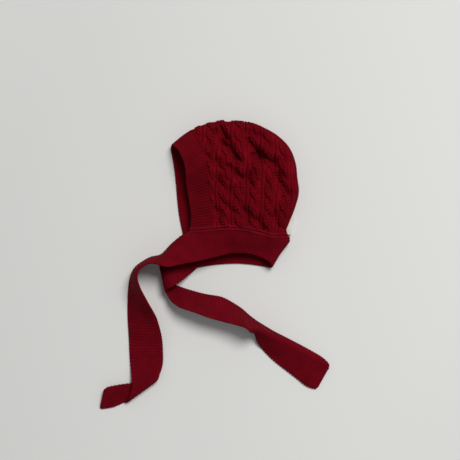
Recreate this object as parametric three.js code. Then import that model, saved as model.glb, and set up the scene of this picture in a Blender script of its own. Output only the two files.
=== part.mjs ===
// Knitted baby bonnet, lying flat on its side: a cable-knit crown, a ribbed face band, one long
// ribbed strip that is the neck band and both ties, and a small bare side label at the nape.
// Millimetres, +Z up, +Y towards the crown's top, +X towards the back of the head.
import * as THREE from 'three';

// Driving sizes
const HOOD_DEPTH = 125; // front edge to the back fold, as it lies
const HOOD_HEIGHT = 126; // neck seam to the top fold, as it lies
const LOFT = 38; // height of the upper side's crest above the surface
const FOLD_RADIUS = 9.5; // roll of the cloth along the top and back fold
const CROWN_WALL = 3.5;
const FACE_BAND_WALL = 3;
const FACE_BAND_WIDTH = 25;
const STRAP_WIDTH = 37.5; // neck band and ties, one strip of one width
const STRAP_WALL = 2.8;
const NEAR_TIE_REACH = 104; // how far the upper tie goes out in front of the hood
const NEAR_TIE_DROP = 205; // and how far below the neck seam
const FAR_TIE_REACH = 165; // how far the lower tie goes back under the hood
const FAR_TIE_DROP = 183;
const CABLE_SPACING = 16.8;
const CABLE_START = 8.4; // first ridge, measured from the face band's seam
const CABLE_RELIEF = 1.1;
const LABEL_LENGTH = 21;
const LABEL_WIDTH = 6.5;
const LABEL_THICKNESS = 1.2;
const LABEL_ABOVE_SEAM = 4.5; // from the neck seam up to the label's lower end
const LABEL_HEIGHT = 3.2; // height of the label's middle above the surface, under the roll
const GAP = 0.35; // between neighbouring pieces

// How finely each piece is divided
const CROWN_STEPS = { around: 36, up: 18 };
const FACE_BAND_STEPS = { around: 4, up: 16 };
const STRAP_STEPS = { across: 6, band: 16, perRow: 3 };

// The fold line seen from above, from the front tip over the top to the nape.
// back is a share of HOOD_DEPTH, up a share of HOOD_HEIGHT; the origin is the upper side's
// front corner at the neck seam.
const FOLD_LINE = [
  { back: -0.148, up: 0.79 },
  { back: -0.038, up: 0.877 },
  { back: 0.074, up: 0.942 },
  { back: 0.196, up: 0.982 },
  { back: 0.314, up: 1.004 },
  { back: 0.35, up: 0.994 },
  { back: 0.42, up: 1.0 },
  { back: 0.584, up: 0.975 },
  { back: 0.706, up: 0.923 },
  { back: 0.818, up: 0.855 },
  { back: 0.92, up: 0.748 },
  { back: 0.972, up: 0.62 },
  { back: 0.99, up: 0.48 },
  { back: 1.003, up: 0.35 },
  { back: 0.966, up: 0.205 },
  { back: 0.912, up: 0.07 },
  { back: 0.89, up: 0.0 },
];
// The same line along the neck band's back fold, as shares of STRAP_WIDTH from the nape.
const NAPE_LINE = [
  { back: 0.02, down: 0.1 },
  { back: -0.07, down: 0.25 },
  { back: -0.25, down: 0.48 },
  { back: -0.4, down: 0.72 },
  { back: -0.5, down: 0.9 },
];
const NAPE = { back: 0.922, up: -0.058 };
// Where the top fold turns into the back seam.
const TOP_CORNER = { back: 0.87, up: 0.805 };

// Open edges of the hood: the upper and lower side's face edge, from the neck to the tip.
const FACE_EDGE = {
  near: [
    { back: 0.018, up: 0.0 },
    { back: 0.028, up: 0.1 },
    { back: 0.022, up: 0.19 },
    { back: -0.002, up: 0.355 },
    { back: -0.012, up: 0.455 },
    { back: -0.018, up: 0.555 },
    { back: -0.043, up: 0.647 },
    { back: -0.089, up: 0.734 },
  ],
  far: [
    { back: -0.04, up: -0.055 },
    { back: -0.078, up: 0.122 },
    { back: -0.097, up: 0.274 },
    { back: -0.111, up: 0.435 },
    { back: -0.131, up: 0.597 },
  ],
};
// Neck seam of each side, from the face edge to the nape.
const NECK_SEAM = {
  near: [
    { back: 0.018, up: 0.0 },
    { back: 0.17, up: 0.012 },
    { back: 0.33, up: 0.027 },
    { back: 0.505, up: 0.021 },
    { back: 0.63, up: -0.008 },
    { back: 0.78, up: -0.045 },
  ],
  far: [
    { back: -0.04, up: -0.055 },
    { back: 0.138, up: -0.021 },
    { back: 0.34, up: 0.004 },
    { back: 0.56, up: 0.003 },
    { back: 0.76, up: -0.028 },
  ],
};
// Free lower edge of the neck band: how far below the seam, as a share of STRAP_WIDTH, at each
// share of the way from the front to the nape. lean moves the point forwards.
const BAND_EDGE = {
  near: [
    { along: 0.0, down: 0.95, lean: 0.1 },
    { along: 0.22, down: 0.87, lean: 0.06 },
    { along: 0.42, down: 0.76, lean: 0.02 },
    { along: 0.6, down: 0.72, lean: 0.0 },
    { along: 0.78, down: 0.78, lean: 0.05 },
  ],
  far: [
    { along: 0.0, down: 0.92, lean: -0.39 },
    { along: 0.25, down: 0.98, lean: -0.1 },
    { along: 0.5, down: 1.0, lean: -0.02 },
    { along: 0.75, down: 0.98, lean: 0.15 },
  ],
};

// Height of the upper side, as shares of LOFT. Each row is at one share of HOOD_HEIGHT, its
// columns from the face edge to the back.
const HEIGHT_COLUMNS = [0.0, 0.25, 0.5, 0.8];
const HEIGHTS = [
  { up: -0.28, face: 0.76, front: 0.5, middle: 0.36, back: 0.27 },
  { up: 0.0, face: 0.45, front: 0.72, middle: 0.8, back: 0.72 },
  { up: 0.3, face: 0.46, front: 0.8, middle: 0.97, back: 0.86 },
  { up: 0.6, face: 0.78, front: 0.93, middle: 1.0, back: 0.86 },
  { up: 0.9, face: 0.76, front: 0.8, middle: 0.76, back: 0.68 },
];
const EDGE_RISE = 0.8; // share of LOFT over which the side rises from the roll to its full height
const CREASE_FADE = 2; // creases die out within this many fold radii of the fold

// Creases of the upper side: a valley from one point to another. Ends are shares of the hood,
// deep is a share of LOFT and wide a share of HOOD_DEPTH.
const CREASES = [
  { back: 0.335, up: 0.96, toBack: 0.36, toUp: 0.82, deep: 0.13, wide: 0.03 },
  { back: 0.36, up: 0.82, toBack: 0.475, toUp: 0.66, deep: 0.19, wide: 0.036 },
  { back: 0.27, up: 0.91, toBack: 0.33, toUp: 0.88, deep: 0.09, wide: 0.032 },
  { back: 0.23, up: 0.69, toBack: 0.35, toUp: 0.59, deep: 0.08, wide: 0.032 },
  { back: 0.41, up: 0.58, toBack: 0.52, toUp: 0.47, deep: 0.12, wide: 0.032 },
  { back: 0.58, up: 0.82, toBack: 0.65, toUp: 0.7, deep: 0.21, wide: 0.042 },
  { back: 0.65, up: 0.7, toBack: 0.79, toUp: 0.64, deep: 0.15, wide: 0.038 },
  { back: 0.54, up: 0.93, toBack: 0.7, toUp: 0.88, deep: 0.09, wide: 0.032 },
  { back: 0.81, up: 0.63, toBack: 0.85, toUp: 0.5, deep: 0.05, wide: 0.042 },
  { back: 0.85, up: 0.5, toBack: 0.91, toUp: 0.36, deep: 0.1, wide: 0.042 },
  { back: 0.58, up: 0.5, toBack: 0.6, toUp: 0.46, deep: 0.14, wide: 0.04 },
  { back: 0.32, up: 0.48, toBack: 0.39, toUp: 0.39, deep: 0.09, wide: 0.036 },
  { back: 0.36, up: 0.26, toBack: 0.42, toUp: 0.2, deep: 0.06, wide: 0.032 },
  { back: 0.55, up: 0.19, toBack: 0.57, toUp: 0.13, deep: 0.12, wide: 0.038 },
  { back: 0.29, up: 0.2, toBack: 0.31, toUp: 0.13, deep: 0.09, wide: 0.034 },
  { back: 0.66, up: 0.11, toBack: 0.7, toUp: 0.04, deep: 0.09, wide: 0.034 },
  { back: 0.81, up: 0.16, toBack: 0.84, toUp: 0.08, deep: 0.1, wide: 0.034 },
];

// Ties, a row for each section. The seam edge of the strip is at out (share of the tie's reach,
// forwards on the upper tie and backwards on the lower one), down (share of its drop) and rise
// (share of LOFT, 0 where it lies on the surface). The free edge lies across from it at heading
// (degrees, 0 is back, 90 is up) and tilt (degrees above the surface), at chord (share of
// STRAP_WIDTH). bow curves the section and is a share of STRAP_WIDTH too. Where the strip stands
// like a roof, it turns down by turn degrees at crest, a share of its width from the seam edge.
const CREST_ROUND = 0.16; // share of the width over which a section turns
const CREST_STEPS = 8; // parts of a section's step in which it turns
const NEAR_TIE = [
  { out: 0.055, down: 0.022, rise: 0.44, heading: -100, tilt: 24, chord: 0.98, bow: 0.02 },
  { out: 0.177, down: 0.073, rise: 0.42, heading: -96, tilt: 42, chord: 0.88, bow: 0.05 },
  { out: 0.299, down: 0.135, rise: 0.26, heading: -88, tilt: 71, chord: 0.84, bow: 0.07 },
  { out: 0.42, down: 0.153, rise: 0.04, heading: -64, tilt: 82, chord: 0.95, bow: 0.05 },
  { out: 0.52, down: 0.181, rise: 0, heading: -30, tilt: 83, chord: 0.95, bow: 0.04 },
  { out: 0.583, down: 0.206, rise: 0, heading: -16, tilt: 81, chord: 0.95, bow: 0.04 },
  { out: 0.626, down: 0.241, rise: 0, heading: -19, tilt: 77, chord: 0.95, bow: 0.03 },
  { out: 0.65, down: 0.284, rise: 0, heading: -15, tilt: 69, chord: 0.95, bow: 0.02 },
  { out: 0.663, down: 0.347, rise: 0, heading: -6, tilt: 58, chord: 0.96, bow: 0 },
  { out: 0.667, down: 0.415, rise: 0, heading: -2, tilt: 44, chord: 0.97, bow: 0 },
  { out: 0.666, down: 0.488, rise: 0, heading: 0, tilt: 27, chord: 0.98, bow: 0 },
  { out: 0.653, down: 0.6, rise: 0, heading: 0, tilt: 12, chord: 1, bow: 0.01 },
  { out: 0.642, down: 0.72, rise: 0.01, heading: 6, tilt: 4, chord: 0.98, bow: 0.02 },
  { out: 0.624, down: 0.805, rise: 0.14, heading: 17, tilt: 0, chord: 0.95, bow: 0.03 },
  { out: 0.618, down: 0.872, rise: 0.25, heading: 28, tilt: -2, chord: 0.95, bow: 0.03 },
  { out: 0.655, down: 0.935, rise: 0.235, heading: 34, tilt: -2, chord: 1.04, bow: 0.02 },
  { out: 0.682, down: 0.956, rise: 0.13, heading: 36, tilt: 0, chord: 1.06, bow: 0 },
  { out: 0.71, down: 0.96, rise: 0.01, heading: 38, tilt: 0, chord: 0.99, bow: 0 },
  { out: 0.83, down: 0.984, rise: 0, heading: 56, tilt: 4, chord: 0.84, bow: 0 },
  { out: 0.985, down: 0.996, rise: 0, heading: 77, tilt: 12, chord: 0.66, bow: 0.02 },
];
const FAR_TIE = [
  { out: -0.07, down: 0.065, rise: 0, heading: -64, tilt: 2, chord: 1, bow: 0 },
  { out: -0.122, down: 0.11, rise: 0.05, heading: -61, tilt: 11, chord: 0.98, bow: 0.02 },
  { out: -0.163, down: 0.157, rise: 0.11, heading: -61, tilt: 21, chord: 0.95, bow: 0.05 },
  { out: -0.184, down: 0.19, rise: 0.17, heading: -67, tilt: 26, chord: 0.9, bow: 0.08 },
  { out: -0.196, down: 0.216, rise: 0.13, heading: -76, tilt: 24, chord: 0.82, bow: 0.09 },
  { out: -0.188, down: 0.245, rise: 0.02, heading: -76, tilt: 23, chord: 0.79, bow: 0.02 },
  { out: -0.166, down: 0.292, rise: 0, heading: -73, tilt: 29, chord: 0.81, bow: -0.05 },
  { out: -0.121, down: 0.333, rise: 0, heading: -70, tilt: 38, chord: 0.88, bow: -0.05 },
  { out: -0.061, down: 0.355, rise: 0, heading: -71, tilt: 45, chord: 0.94, bow: 0.02 },
  { out: 0.022, down: 0.379, rise: 0, heading: -76, tilt: 49, chord: 0.95, bow: 0 },
  { out: 0.12, down: 0.402, rise: 0, heading: -84, tilt: 50, chord: 0.97, bow: 0 },
  { out: 0.23, down: 0.42, rise: 0, heading: -89, tilt: 48, chord: 0.98, bow: 0 },
  { out: 0.3, down: 0.452, rise: 0, heading: -84, tilt: 53, chord: 0.98, bow: 0 },
  { out: 0.37, down: 0.494, rise: 0, heading: -80, tilt: 61, chord: 0.99, bow: 0, crest: 1.08, turn: 110 },
  { out: 0.4147, down: 0.53, rise: 0, heading: -86, tilt: 66, chord: 0.95, bow: 0, crest: 0.99, turn: 125 },
  { out: 0.4635, down: 0.564, rise: 0, heading: -100, tilt: 72, chord: 0.97, bow: 0, crest: 0.74, turn: 150 },
  { out: 0.519, down: 0.596, rise: 0, heading: -112, tilt: 76, chord: 1, bow: 0, crest: 0.5, turn: 125 },
  { out: 0.592, down: 0.635, rise: 0, heading: -119, tilt: 75, chord: 1, bow: 0, crest: 0.38, turn: 113 },
  { out: 0.676, down: 0.674, rise: 0, heading: -121, tilt: 72, chord: 0.97, bow: 0, crest: 0.27, turn: 96 },
  { out: 0.767, down: 0.716, rise: 0, heading: -121, tilt: 65, chord: 0.96, bow: 0, crest: 0.2, turn: 79 },
  { out: 0.857, down: 0.76, rise: 0, heading: -120, tilt: 55, chord: 0.97, bow: 0, crest: 0.15, turn: 63 },
  { out: 0.927, down: 0.798, rise: 0, heading: -119, tilt: 40, chord: 0.98, bow: 0, crest: 0.12, turn: 44 },
  { out: 0.985, down: 0.845, rise: 0, heading: -119, tilt: 25, chord: 0.86, bow: 0, crest: 0.12, turn: 29 },
];

const RED = { crown: 0x6d0f1c, band: 0x680c18, strap: 0x6c0d1a };
const LABEL_COLOR = 0xd9d7d2;

// Small helpers
const mix = (a, b, t) => a + (b - a) * t;
const smooth = (t) => {
  const c = THREE.MathUtils.clamp(t, 0, 1);
  return c * c * (3 - 2 * c);
};
const hoodPoint = (row) => new THREE.Vector3(row.back * HOOD_DEPTH, row.up * HOOD_HEIGHT, 0);
const curveThrough = (points) => new THREE.CatmullRomCurve3(points, false, 'centripetal');

// The fold line, and the line where the cloth would fold if both sides lay flat: it is further
// out by what the roll takes up.
const nape = hoodPoint(NAPE);
const foldCurve = curveThrough([
  ...FOLD_LINE.map(hoodPoint),
  ...NAPE_LINE.map(
    (row) => new THREE.Vector3(nape.x + row.back * STRAP_WIDTH, nape.y - row.down * STRAP_WIDTH, 0),
  ),
]);
const ROLL_SPREAD = (Math.PI / 2 - 1) * FOLD_RADIUS;
const FOLD_SAMPLES = 400;
const foldLength = foldCurve.getLength();
const fold = [];
for (let i = 0; i <= FOLD_SAMPLES; i += 1) {
  const at = foldCurve.getPointAt(i / FOLD_SAMPLES);
  const along = foldCurve.getTangentAt(i / FOLD_SAMPLES);
  const outward = new THREE.Vector2(-along.y, along.x);
  fold.push({ x: at.x + outward.x * ROLL_SPREAD, y: at.y + outward.y * ROLL_SPREAD, outward });
}
// Point of the flat fold line at a length measured from the front tip.
function foldAt(length) {
  const place = THREE.MathUtils.clamp(length / foldLength, 0, 1) * FOLD_SAMPLES;
  const i = Math.min(Math.floor(place), FOLD_SAMPLES - 1);
  const t = place - i;
  return new THREE.Vector3(mix(fold[i].x, fold[i + 1].x, t), mix(fold[i].y, fold[i + 1].y, t), 0);
}
// Length along the fold line at which it passes nearest to a point.
function foldLengthNear(point) {
  let best = 0;
  let least = Infinity;
  for (let i = 0; i <= FOLD_SAMPLES; i += 1) {
    const at = foldCurve.getPointAt(i / FOLD_SAMPLES);
    const away = at.distanceTo(point);
    if (away < least) {
      least = away;
      best = i;
    }
  }
  return (best / FOLD_SAMPLES) * foldLength;
}
// How far inside the flat fold line a flat point lies, and the outward direction there.
function insideFold(x, y) {
  let least = Infinity;
  let found = null;
  for (let i = 0; i < FOLD_SAMPLES; i += 1) {
    const a = fold[i];
    const b = fold[i + 1];
    const dx = b.x - a.x;
    const dy = b.y - a.y;
    const t = THREE.MathUtils.clamp(((x - a.x) * dx + (y - a.y) * dy) / (dx * dx + dy * dy), 0, 1);
    const away = Math.hypot(x - a.x - t * dx, y - a.y - t * dy);
    if (away < least) {
      least = away;
      found = { i, t };
    }
  }
  const a = fold[found.i];
  const b = fold[found.i + 1];
  const outward = new THREE.Vector2(
    mix(a.outward.x, b.outward.x, found.t),
    mix(a.outward.y, b.outward.y, found.t),
  ).normalize();
  const fx = mix(a.x, b.x, found.t);
  const fy = mix(a.y, b.y, found.t);
  const sign = (x - fx) * outward.x + (y - fy) * outward.y > 0 ? -1 : 1;
  return { inside: sign * least, outward };
}

// One-dimensional Catmull-Rom through four values.
function through(a, b, c, d, t) {
  return (
    b +
    0.5 * t * (c - a + t * (2 * a - 5 * b + 4 * c - d + t * (3 * (b - c) + d - a)))
  );
}
// Value at x of a row of samples at rising places, held level past both ends.
function sampled(places, values, x) {
  const last = places.length - 1;
  const held = THREE.MathUtils.clamp(x, places[0], places[last]);
  let i = 0;
  while (i < last - 1 && held > places[i + 1]) {
    i += 1;
  }
  const t = (held - places[i]) / (places[i + 1] - places[i]);
  const before = values[Math.max(i - 1, 0)];
  const after = values[Math.min(i + 2, last)];
  return through(before, values[i], values[i + 1], after, t);
}
function heightShare(back, up) {
  const column = HEIGHTS.map((row) =>
    sampled(HEIGHT_COLUMNS, [row.face, row.front, row.middle, row.back], back),
  );
  return sampled(HEIGHTS.map((row) => row.up), column, up);
}
// Depth of all creases together at a flat point.
function creaseDepth(x, y) {
  let depth = 0;
  for (const row of CREASES) {
    const ax = row.back * HOOD_DEPTH;
    const ay = row.up * HOOD_HEIGHT;
    const dx = row.toBack * HOOD_DEPTH - ax;
    const dy = row.toUp * HOOD_HEIGHT - ay;
    const t = THREE.MathUtils.clamp(((x - ax) * dx + (y - ay) * dy) / (dx * dx + dy * dy), 0, 1);
    const away = Math.hypot(x - ax - t * dx, y - ay - t * dy) / (row.wide * HOOD_DEPTH);
    depth += row.deep * LOFT * Math.exp(-away * away);
  }
  return depth;
}

// Outer surface of the lying hood at a flat point of its upper (near) or lower (far) side.
function surface(side, x, y) {
  const { inside, outward } = insideFold(x, y);
  const turn = Math.min(inside / FOLD_RADIUS, Math.PI / 2);
  const shift = inside / FOLD_RADIUS < Math.PI / 2
    ? FOLD_RADIUS * (1 - Math.cos(turn)) - inside + ROLL_SPREAD
    : 0;
  const px = x - outward.x * shift;
  const py = y - outward.y * shift;
  if (side === 'far') {
    return new THREE.Vector3(px, py, FOLD_RADIUS * (1 - Math.sin(turn)));
  }
  const rise = smooth(inside / (EDGE_RISE * LOFT));
  const full = heightShare(px / HOOD_DEPTH, py / HOOD_HEIGHT) * LOFT - 2 * FOLD_RADIUS;
  const dent = creaseDepth(px, py) * smooth(inside / (CREASE_FADE * FOLD_RADIUS));
  return new THREE.Vector3(px, py, FOLD_RADIUS * (1 + Math.sin(turn)) + full * rise - dent);
}
const NORMAL_STEP = 0.3;
const ON_FOLD = 1e-6;
function surfaceNormal(side, x, y) {
  const { inside, outward } = insideFold(x, y);
  if (Math.abs(inside) < ON_FOLD) {
    return new THREE.Vector3(outward.x, outward.y, 0);
  }
  const alongX = surface(side, x + NORMAL_STEP, y).sub(surface(side, x - NORMAL_STEP, y));
  const alongY = surface(side, x, y + NORMAL_STEP).sub(surface(side, x, y - NORMAL_STEP));
  const normal = alongX.cross(alongY).normalize();
  return side === 'far' ? normal.negate() : normal;
}

// Flat patch between four boundary curves, given as functions of 0 to 1.
function patch(bottom, top, left, right) {
  return (u, v) => {
    const across = bottom(u).multiplyScalar(1 - v).add(top(u).multiplyScalar(v));
    const upright = left(v).multiplyScalar(1 - u).add(right(v).multiplyScalar(u));
    const corners = bottom(0).multiplyScalar((1 - u) * (1 - v));
    corners.add(bottom(1).multiplyScalar(u * (1 - v)));
    corners.add(top(0).multiplyScalar((1 - u) * v));
    corners.add(top(1).multiplyScalar(u * v));
    return across.add(upright).sub(corners);
  };
}
const TIP_LENGTH = 0;
const SEAM_LENGTH = FACE_BAND_WIDTH;
const NAPE_LENGTH = foldLengthNear(nape);
const BACK_LENGTH = foldLengthNear(hoodPoint(TOP_CORNER));
const foldPart = (from, to) => (t) => foldAt(mix(from, to, t));
// Part of a curve, between two shares of its length.
const curvePart = (curve, from, to) => (t) => curve.getPointAt(mix(from, to, t));
// A point beside a curve, to the right of its direction.
function beside(curve, t, distance) {
  const at = curve.getPointAt(t);
  const along = curve.getTangentAt(t);
  return new THREE.Vector3(at.x + along.y * distance, at.y - along.x * distance, 0);
}

const faceEdge = {};
const neckSeam = {};
for (const side of ['near', 'far']) {
  faceEdge[side] = curveThrough([...FACE_EDGE[side].map(hoodPoint), foldAt(TIP_LENGTH)]);
  neckSeam[side] = curveThrough([...NECK_SEAM[side].map(hoodPoint), foldAt(NAPE_LENGTH)]);
}
// Share of the neck seam's length that the face band takes.
const seamShare = (side) => FACE_BAND_WIDTH / neckSeam[side].getLength();
// The seam between face band and crown runs beside the face edge, between these shares of it.
const SEAM_FROM = 0.12;
const SEAM_TO = 0.85;
const SEAM_POINTS = 6;
function faceSeamCurve(side) {
  const points = [neckSeam[side].getPointAt(seamShare(side))];
  for (let i = 0; i < SEAM_POINTS; i += 1) {
    const t = mix(SEAM_FROM, SEAM_TO, i / (SEAM_POINTS - 1));
    points.push(beside(faceEdge[side], t, FACE_BAND_WIDTH));
  }
  return curveThrough([...points, foldAt(SEAM_LENGTH)]);
}

function crownPatch(side) {
  const share = seamShare(side) + GAP / neckSeam[side].getLength();
  const seam = faceSeamCurve(side);
  const lower = curvePart(neckSeam[side], share, 1);
  const left = (t) => beside(seam, t, GAP).add(new THREE.Vector3(0, GAP * (1 - t), 0));
  const bottom = (t) => {
    const point = lower(t);
    const nudge = foldAt(NAPE_LENGTH - GAP).sub(foldAt(NAPE_LENGTH));
    point.x += nudge.x * t;
    point.y += mix(GAP, nudge.y, t);
    return point;
  };
  const start = left(0).sub(bottom(0));
  const bottomMet = (t) => bottom(t).add(start.clone().multiplyScalar(1 - t));
  const topCurve = foldPart(SEAM_LENGTH + GAP, BACK_LENGTH);
  const topStart = left(1).sub(topCurve(0));
  const leftMet = (t) => left(t).sub(topStart.clone().multiplyScalar(t));
  return patch(bottomMet, topCurve, leftMet, foldPart(NAPE_LENGTH - GAP, BACK_LENGTH));
}
function faceBandPatch(side) {
  const foot = curvePart(neckSeam[side], 0, seamShare(side));
  const raised = (edge) => (t) => edge(t).add(new THREE.Vector3(0, GAP * (1 - t), 0));
  return patch(
    (t) => foot(t).add(new THREE.Vector3(0, GAP, 0)),
    foldPart(TIP_LENGTH, SEAM_LENGTH),
    raised(curvePart(faceEdge[side], 0, 1)),
    raised(curvePart(faceSeamCurve(side), 0, 1)),
  );
}
function neckBandPatch(side) {
  const foot = foldAt(foldLength);
  const edge = BAND_EDGE[side].map((row) => {
    const seam = neckSeam[side].getPointAt(row.along);
    return new THREE.Vector3(seam.x - row.lean * STRAP_WIDTH, seam.y - row.down * STRAP_WIDTH, 0);
  });
  const free = curveThrough([...edge, foot]);
  const front = (t) => neckSeam[side].getPointAt(0).lerp(free.getPointAt(0), 1 - t);
  return patch(
    curvePart(free, 0, 1),
    curvePart(neckSeam[side], 0, 1),
    front,
    foldPart(foldLength, NAPE_LENGTH),
  );
}

// Cable relief of the crown: a swell over each cable, level at the edges and where it rests.
const RELIEF_EDGE = 0.08; // share of the crown over which the relief comes in
function cableRelief(side, x, y, u, v) {
  const column = (x - FACE_BAND_WIDTH - CABLE_START) / CABLE_SPACING;
  const swell = 0.5 - 0.5 * Math.cos(2 * Math.PI * column);
  const edges = smooth(u / RELIEF_EDGE) * smooth(v / RELIEF_EDGE);
  const { inside } = insideFold(x, y);
  const resting = side === 'far' ? smooth(1 - inside / FOLD_RADIUS) : 1;
  return CABLE_RELIEF * swell * edges * resting;
}

// Rows of points for the two sides of a cloth that is folded over: up the near side, over the
// fold and down the far side.
function foldedGrid(patches, steps, wall, relief) {
  const rows = [];
  const sides = [];
  for (let j = 0; j <= steps.up; j += 1) {
    sides.push({ side: 'near', v: j / steps.up });
  }
  for (let j = steps.up - 1; j >= 0; j -= 1) {
    sides.push({ side: 'far', v: j / steps.up });
  }
  for (const { side, v } of sides) {
    const row = [];
    for (let i = 0; i <= steps.around; i += 1) {
      const u = i / steps.around;
      const flat = patches[side](u, v);
      const base = surface(side, flat.x, flat.y);
      const normal = surfaceNormal(side, flat.x, flat.y);
      const raisedBy = relief ? relief(side, flat.x, flat.y, u, v) : 0;
      row.push({
        outer: base.clone().addScaledVector(normal, raisedBy),
        inner: base.clone().addScaledVector(normal, -wall),
      });
    }
    rows.push(row);
  }
  return rows;
}

// Collects triangles and turns them into a geometry that faces outwards.
const TINY = 1e-4;
class Skin {
  constructor() {
    this.positions = [];
  }

  triangle(a, b, c) {
    if (a.distanceTo(b) > TINY && b.distanceTo(c) > TINY && c.distanceTo(a) > TINY) {
      this.positions.push(a.x, a.y, a.z, b.x, b.y, b.z, c.x, c.y, c.z);
    }
  }

  quad(a, b, c, d) {
    this.triangle(a, b, c);
    this.triangle(a, c, d);
  }

  geometry() {
    let volume = 0;
    const p = this.positions;
    for (let i = 0; i < p.length; i += 9) {
      volume += p[i] * (p[i + 4] * p[i + 8] - p[i + 5] * p[i + 7]);
      volume += p[i + 1] * (p[i + 5] * p[i + 6] - p[i + 3] * p[i + 8]);
      volume += p[i + 2] * (p[i + 3] * p[i + 7] - p[i + 4] * p[i + 6]);
    }
    if (volume < 0) {
      for (let i = 0; i < p.length; i += 9) {
        for (let k = 0; k < 3; k += 1) {
          [p[i + 3 + k], p[i + 6 + k]] = [p[i + 6 + k], p[i + 3 + k]];
        }
      }
    }
    const shape = new THREE.BufferGeometry();
    shape.setAttribute('position', new THREE.Float32BufferAttribute(p, 3));
    shape.computeVertexNormals();
    return shape;
  }
}

// A cloth with a wall, from rows of outer and inner points. rightOpen is false where the last
// column's near and far points meet on the fold.
function clothGeometry(rows, rightOpen) {
  const skin = new Skin();
  const last = rows[0].length - 1;
  for (let j = 0; j + 1 < rows.length; j += 1) {
    for (let i = 0; i < last; i += 1) {
      const [a, b] = [rows[j][i], rows[j][i + 1]];
      const [d, c] = [rows[j + 1][i], rows[j + 1][i + 1]];
      skin.quad(a.outer, b.outer, c.outer, d.outer);
      skin.quad(d.inner, c.inner, b.inner, a.inner);
    }
    skin.quad(rows[j][0].inner, rows[j][0].outer, rows[j + 1][0].outer, rows[j + 1][0].inner);
    if (rightOpen) {
      const [a, d] = [rows[j][last], rows[j + 1][last]];
      skin.quad(d.inner, d.outer, a.outer, a.inner);
    }
  }
  const end = rows.length - 1;
  for (let i = 0; i < last; i += 1) {
    const [a, b] = [rows[0][i], rows[0][i + 1]];
    skin.quad(a.outer, a.inner, b.inner, b.outer);
    const [d, c] = [rows[end][i], rows[end][i + 1]];
    skin.quad(c.outer, c.inner, d.inner, d.outer);
  }
  return skin.geometry();
}

// The strip as sections of its middle surface, each a row of points from the seam edge to the
// free edge.
function tieRow(row, forwards, reach, drop) {
  const seam = new THREE.Vector3(
    forwards * row.out * reach,
    -row.down * drop,
    Math.max(row.rise * LOFT, STRAP_WALL / 2),
  );
  return { ...row, seam, crest: row.crest ?? 1, turn: row.turn ?? 0 };
}
function tieSection(row) {
  const heading = THREE.MathUtils.degToRad(row.heading);
  const tilt = THREE.MathUtils.degToRad(row.tilt);
  const across = new THREE.Vector3(
    Math.cos(heading) * Math.cos(tilt),
    Math.sin(heading) * Math.cos(tilt),
    Math.sin(tilt),
  );
  const bulge = new THREE.Vector3(
    -Math.cos(heading) * Math.sin(tilt),
    -Math.sin(heading) * Math.sin(tilt),
    Math.cos(tilt),
  );
  const points = [];
  const walk = row.seam.clone();
  const count = STRAP_STEPS.across * CREST_STEPS;
  for (let i = 0; i <= count; i += 1) {
    const w = i / count;
    if (i % CREST_STEPS === 0) {
      const point = walk.clone().addScaledVector(bulge, 4 * w * (1 - w) * row.bow * STRAP_WIDTH);
      point.z = Math.max(point.z, STRAP_WALL / 2);
      points.push(point);
    }
    const bent = smooth((w + 0.5 / count - row.crest) / CREST_ROUND + 0.5);
    const down = THREE.MathUtils.degToRad(row.turn) * bent;
    const step = (row.chord * STRAP_WIDTH) / count;
    walk.addScaledVector(across, step * Math.cos(down));
    walk.addScaledVector(bulge, -step * Math.sin(down));
  }
  return points;
}
function tieSections(table, forwards, reach, drop, start) {
  const rows = [start, ...table.map((row) => tieRow(row, forwards, reach, drop))];
  const path = curveThrough(rows.map((row) => row.seam));
  const places = rows.map((row, i) => i);
  const sections = [];
  const count = (rows.length - 1) * STRAP_STEPS.perRow;
  for (let i = 1; i <= count; i += 1) {
    const place = i / STRAP_STEPS.perRow;
    const blended = { seam: path.getPoint(i / count) };
    for (const name of ['heading', 'tilt', 'chord', 'bow', 'crest', 'turn']) {
      blended[name] = sampled(places, rows.map((row) => row[name]), place);
    }
    blended.seam.z = Math.max(blended.seam.z, STRAP_WALL / 2);
    sections.push(tieSection(blended));
  }
  return sections;
}
// The neck band's section at the front, read back as a row of the tie's table.
function rowOfSection(section) {
  const seam = section[0];
  const free = section[section.length - 1];
  const across = free.clone().sub(seam);
  const flat = Math.hypot(across.x, across.y);
  return {
    seam: seam.clone(),
    heading: THREE.MathUtils.radToDeg(Math.atan2(across.y, across.x)),
    tilt: THREE.MathUtils.radToDeg(Math.atan2(across.z, flat)),
    chord: across.length() / STRAP_WIDTH,
    bow: 0,
    crest: 1,
    turn: 0,
  };
}
function bandSections(side) {
  const flatAt = neckBandPatch(side);
  const sections = [];
  for (let i = 0; i <= STRAP_STEPS.band; i += 1) {
    const section = [];
    for (let k = 0; k <= STRAP_STEPS.across; k += 1) {
      const flat = flatAt(i / STRAP_STEPS.band, 1 - k / STRAP_STEPS.across);
      const normal = surfaceNormal(side, flat.x, flat.y);
      const point = surface(side, flat.x, flat.y).addScaledVector(normal, -STRAP_WALL / 2);
      section.push(Object.assign(point, { normal }));
    }
    sections.push(section);
  }
  return sections;
}
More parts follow.
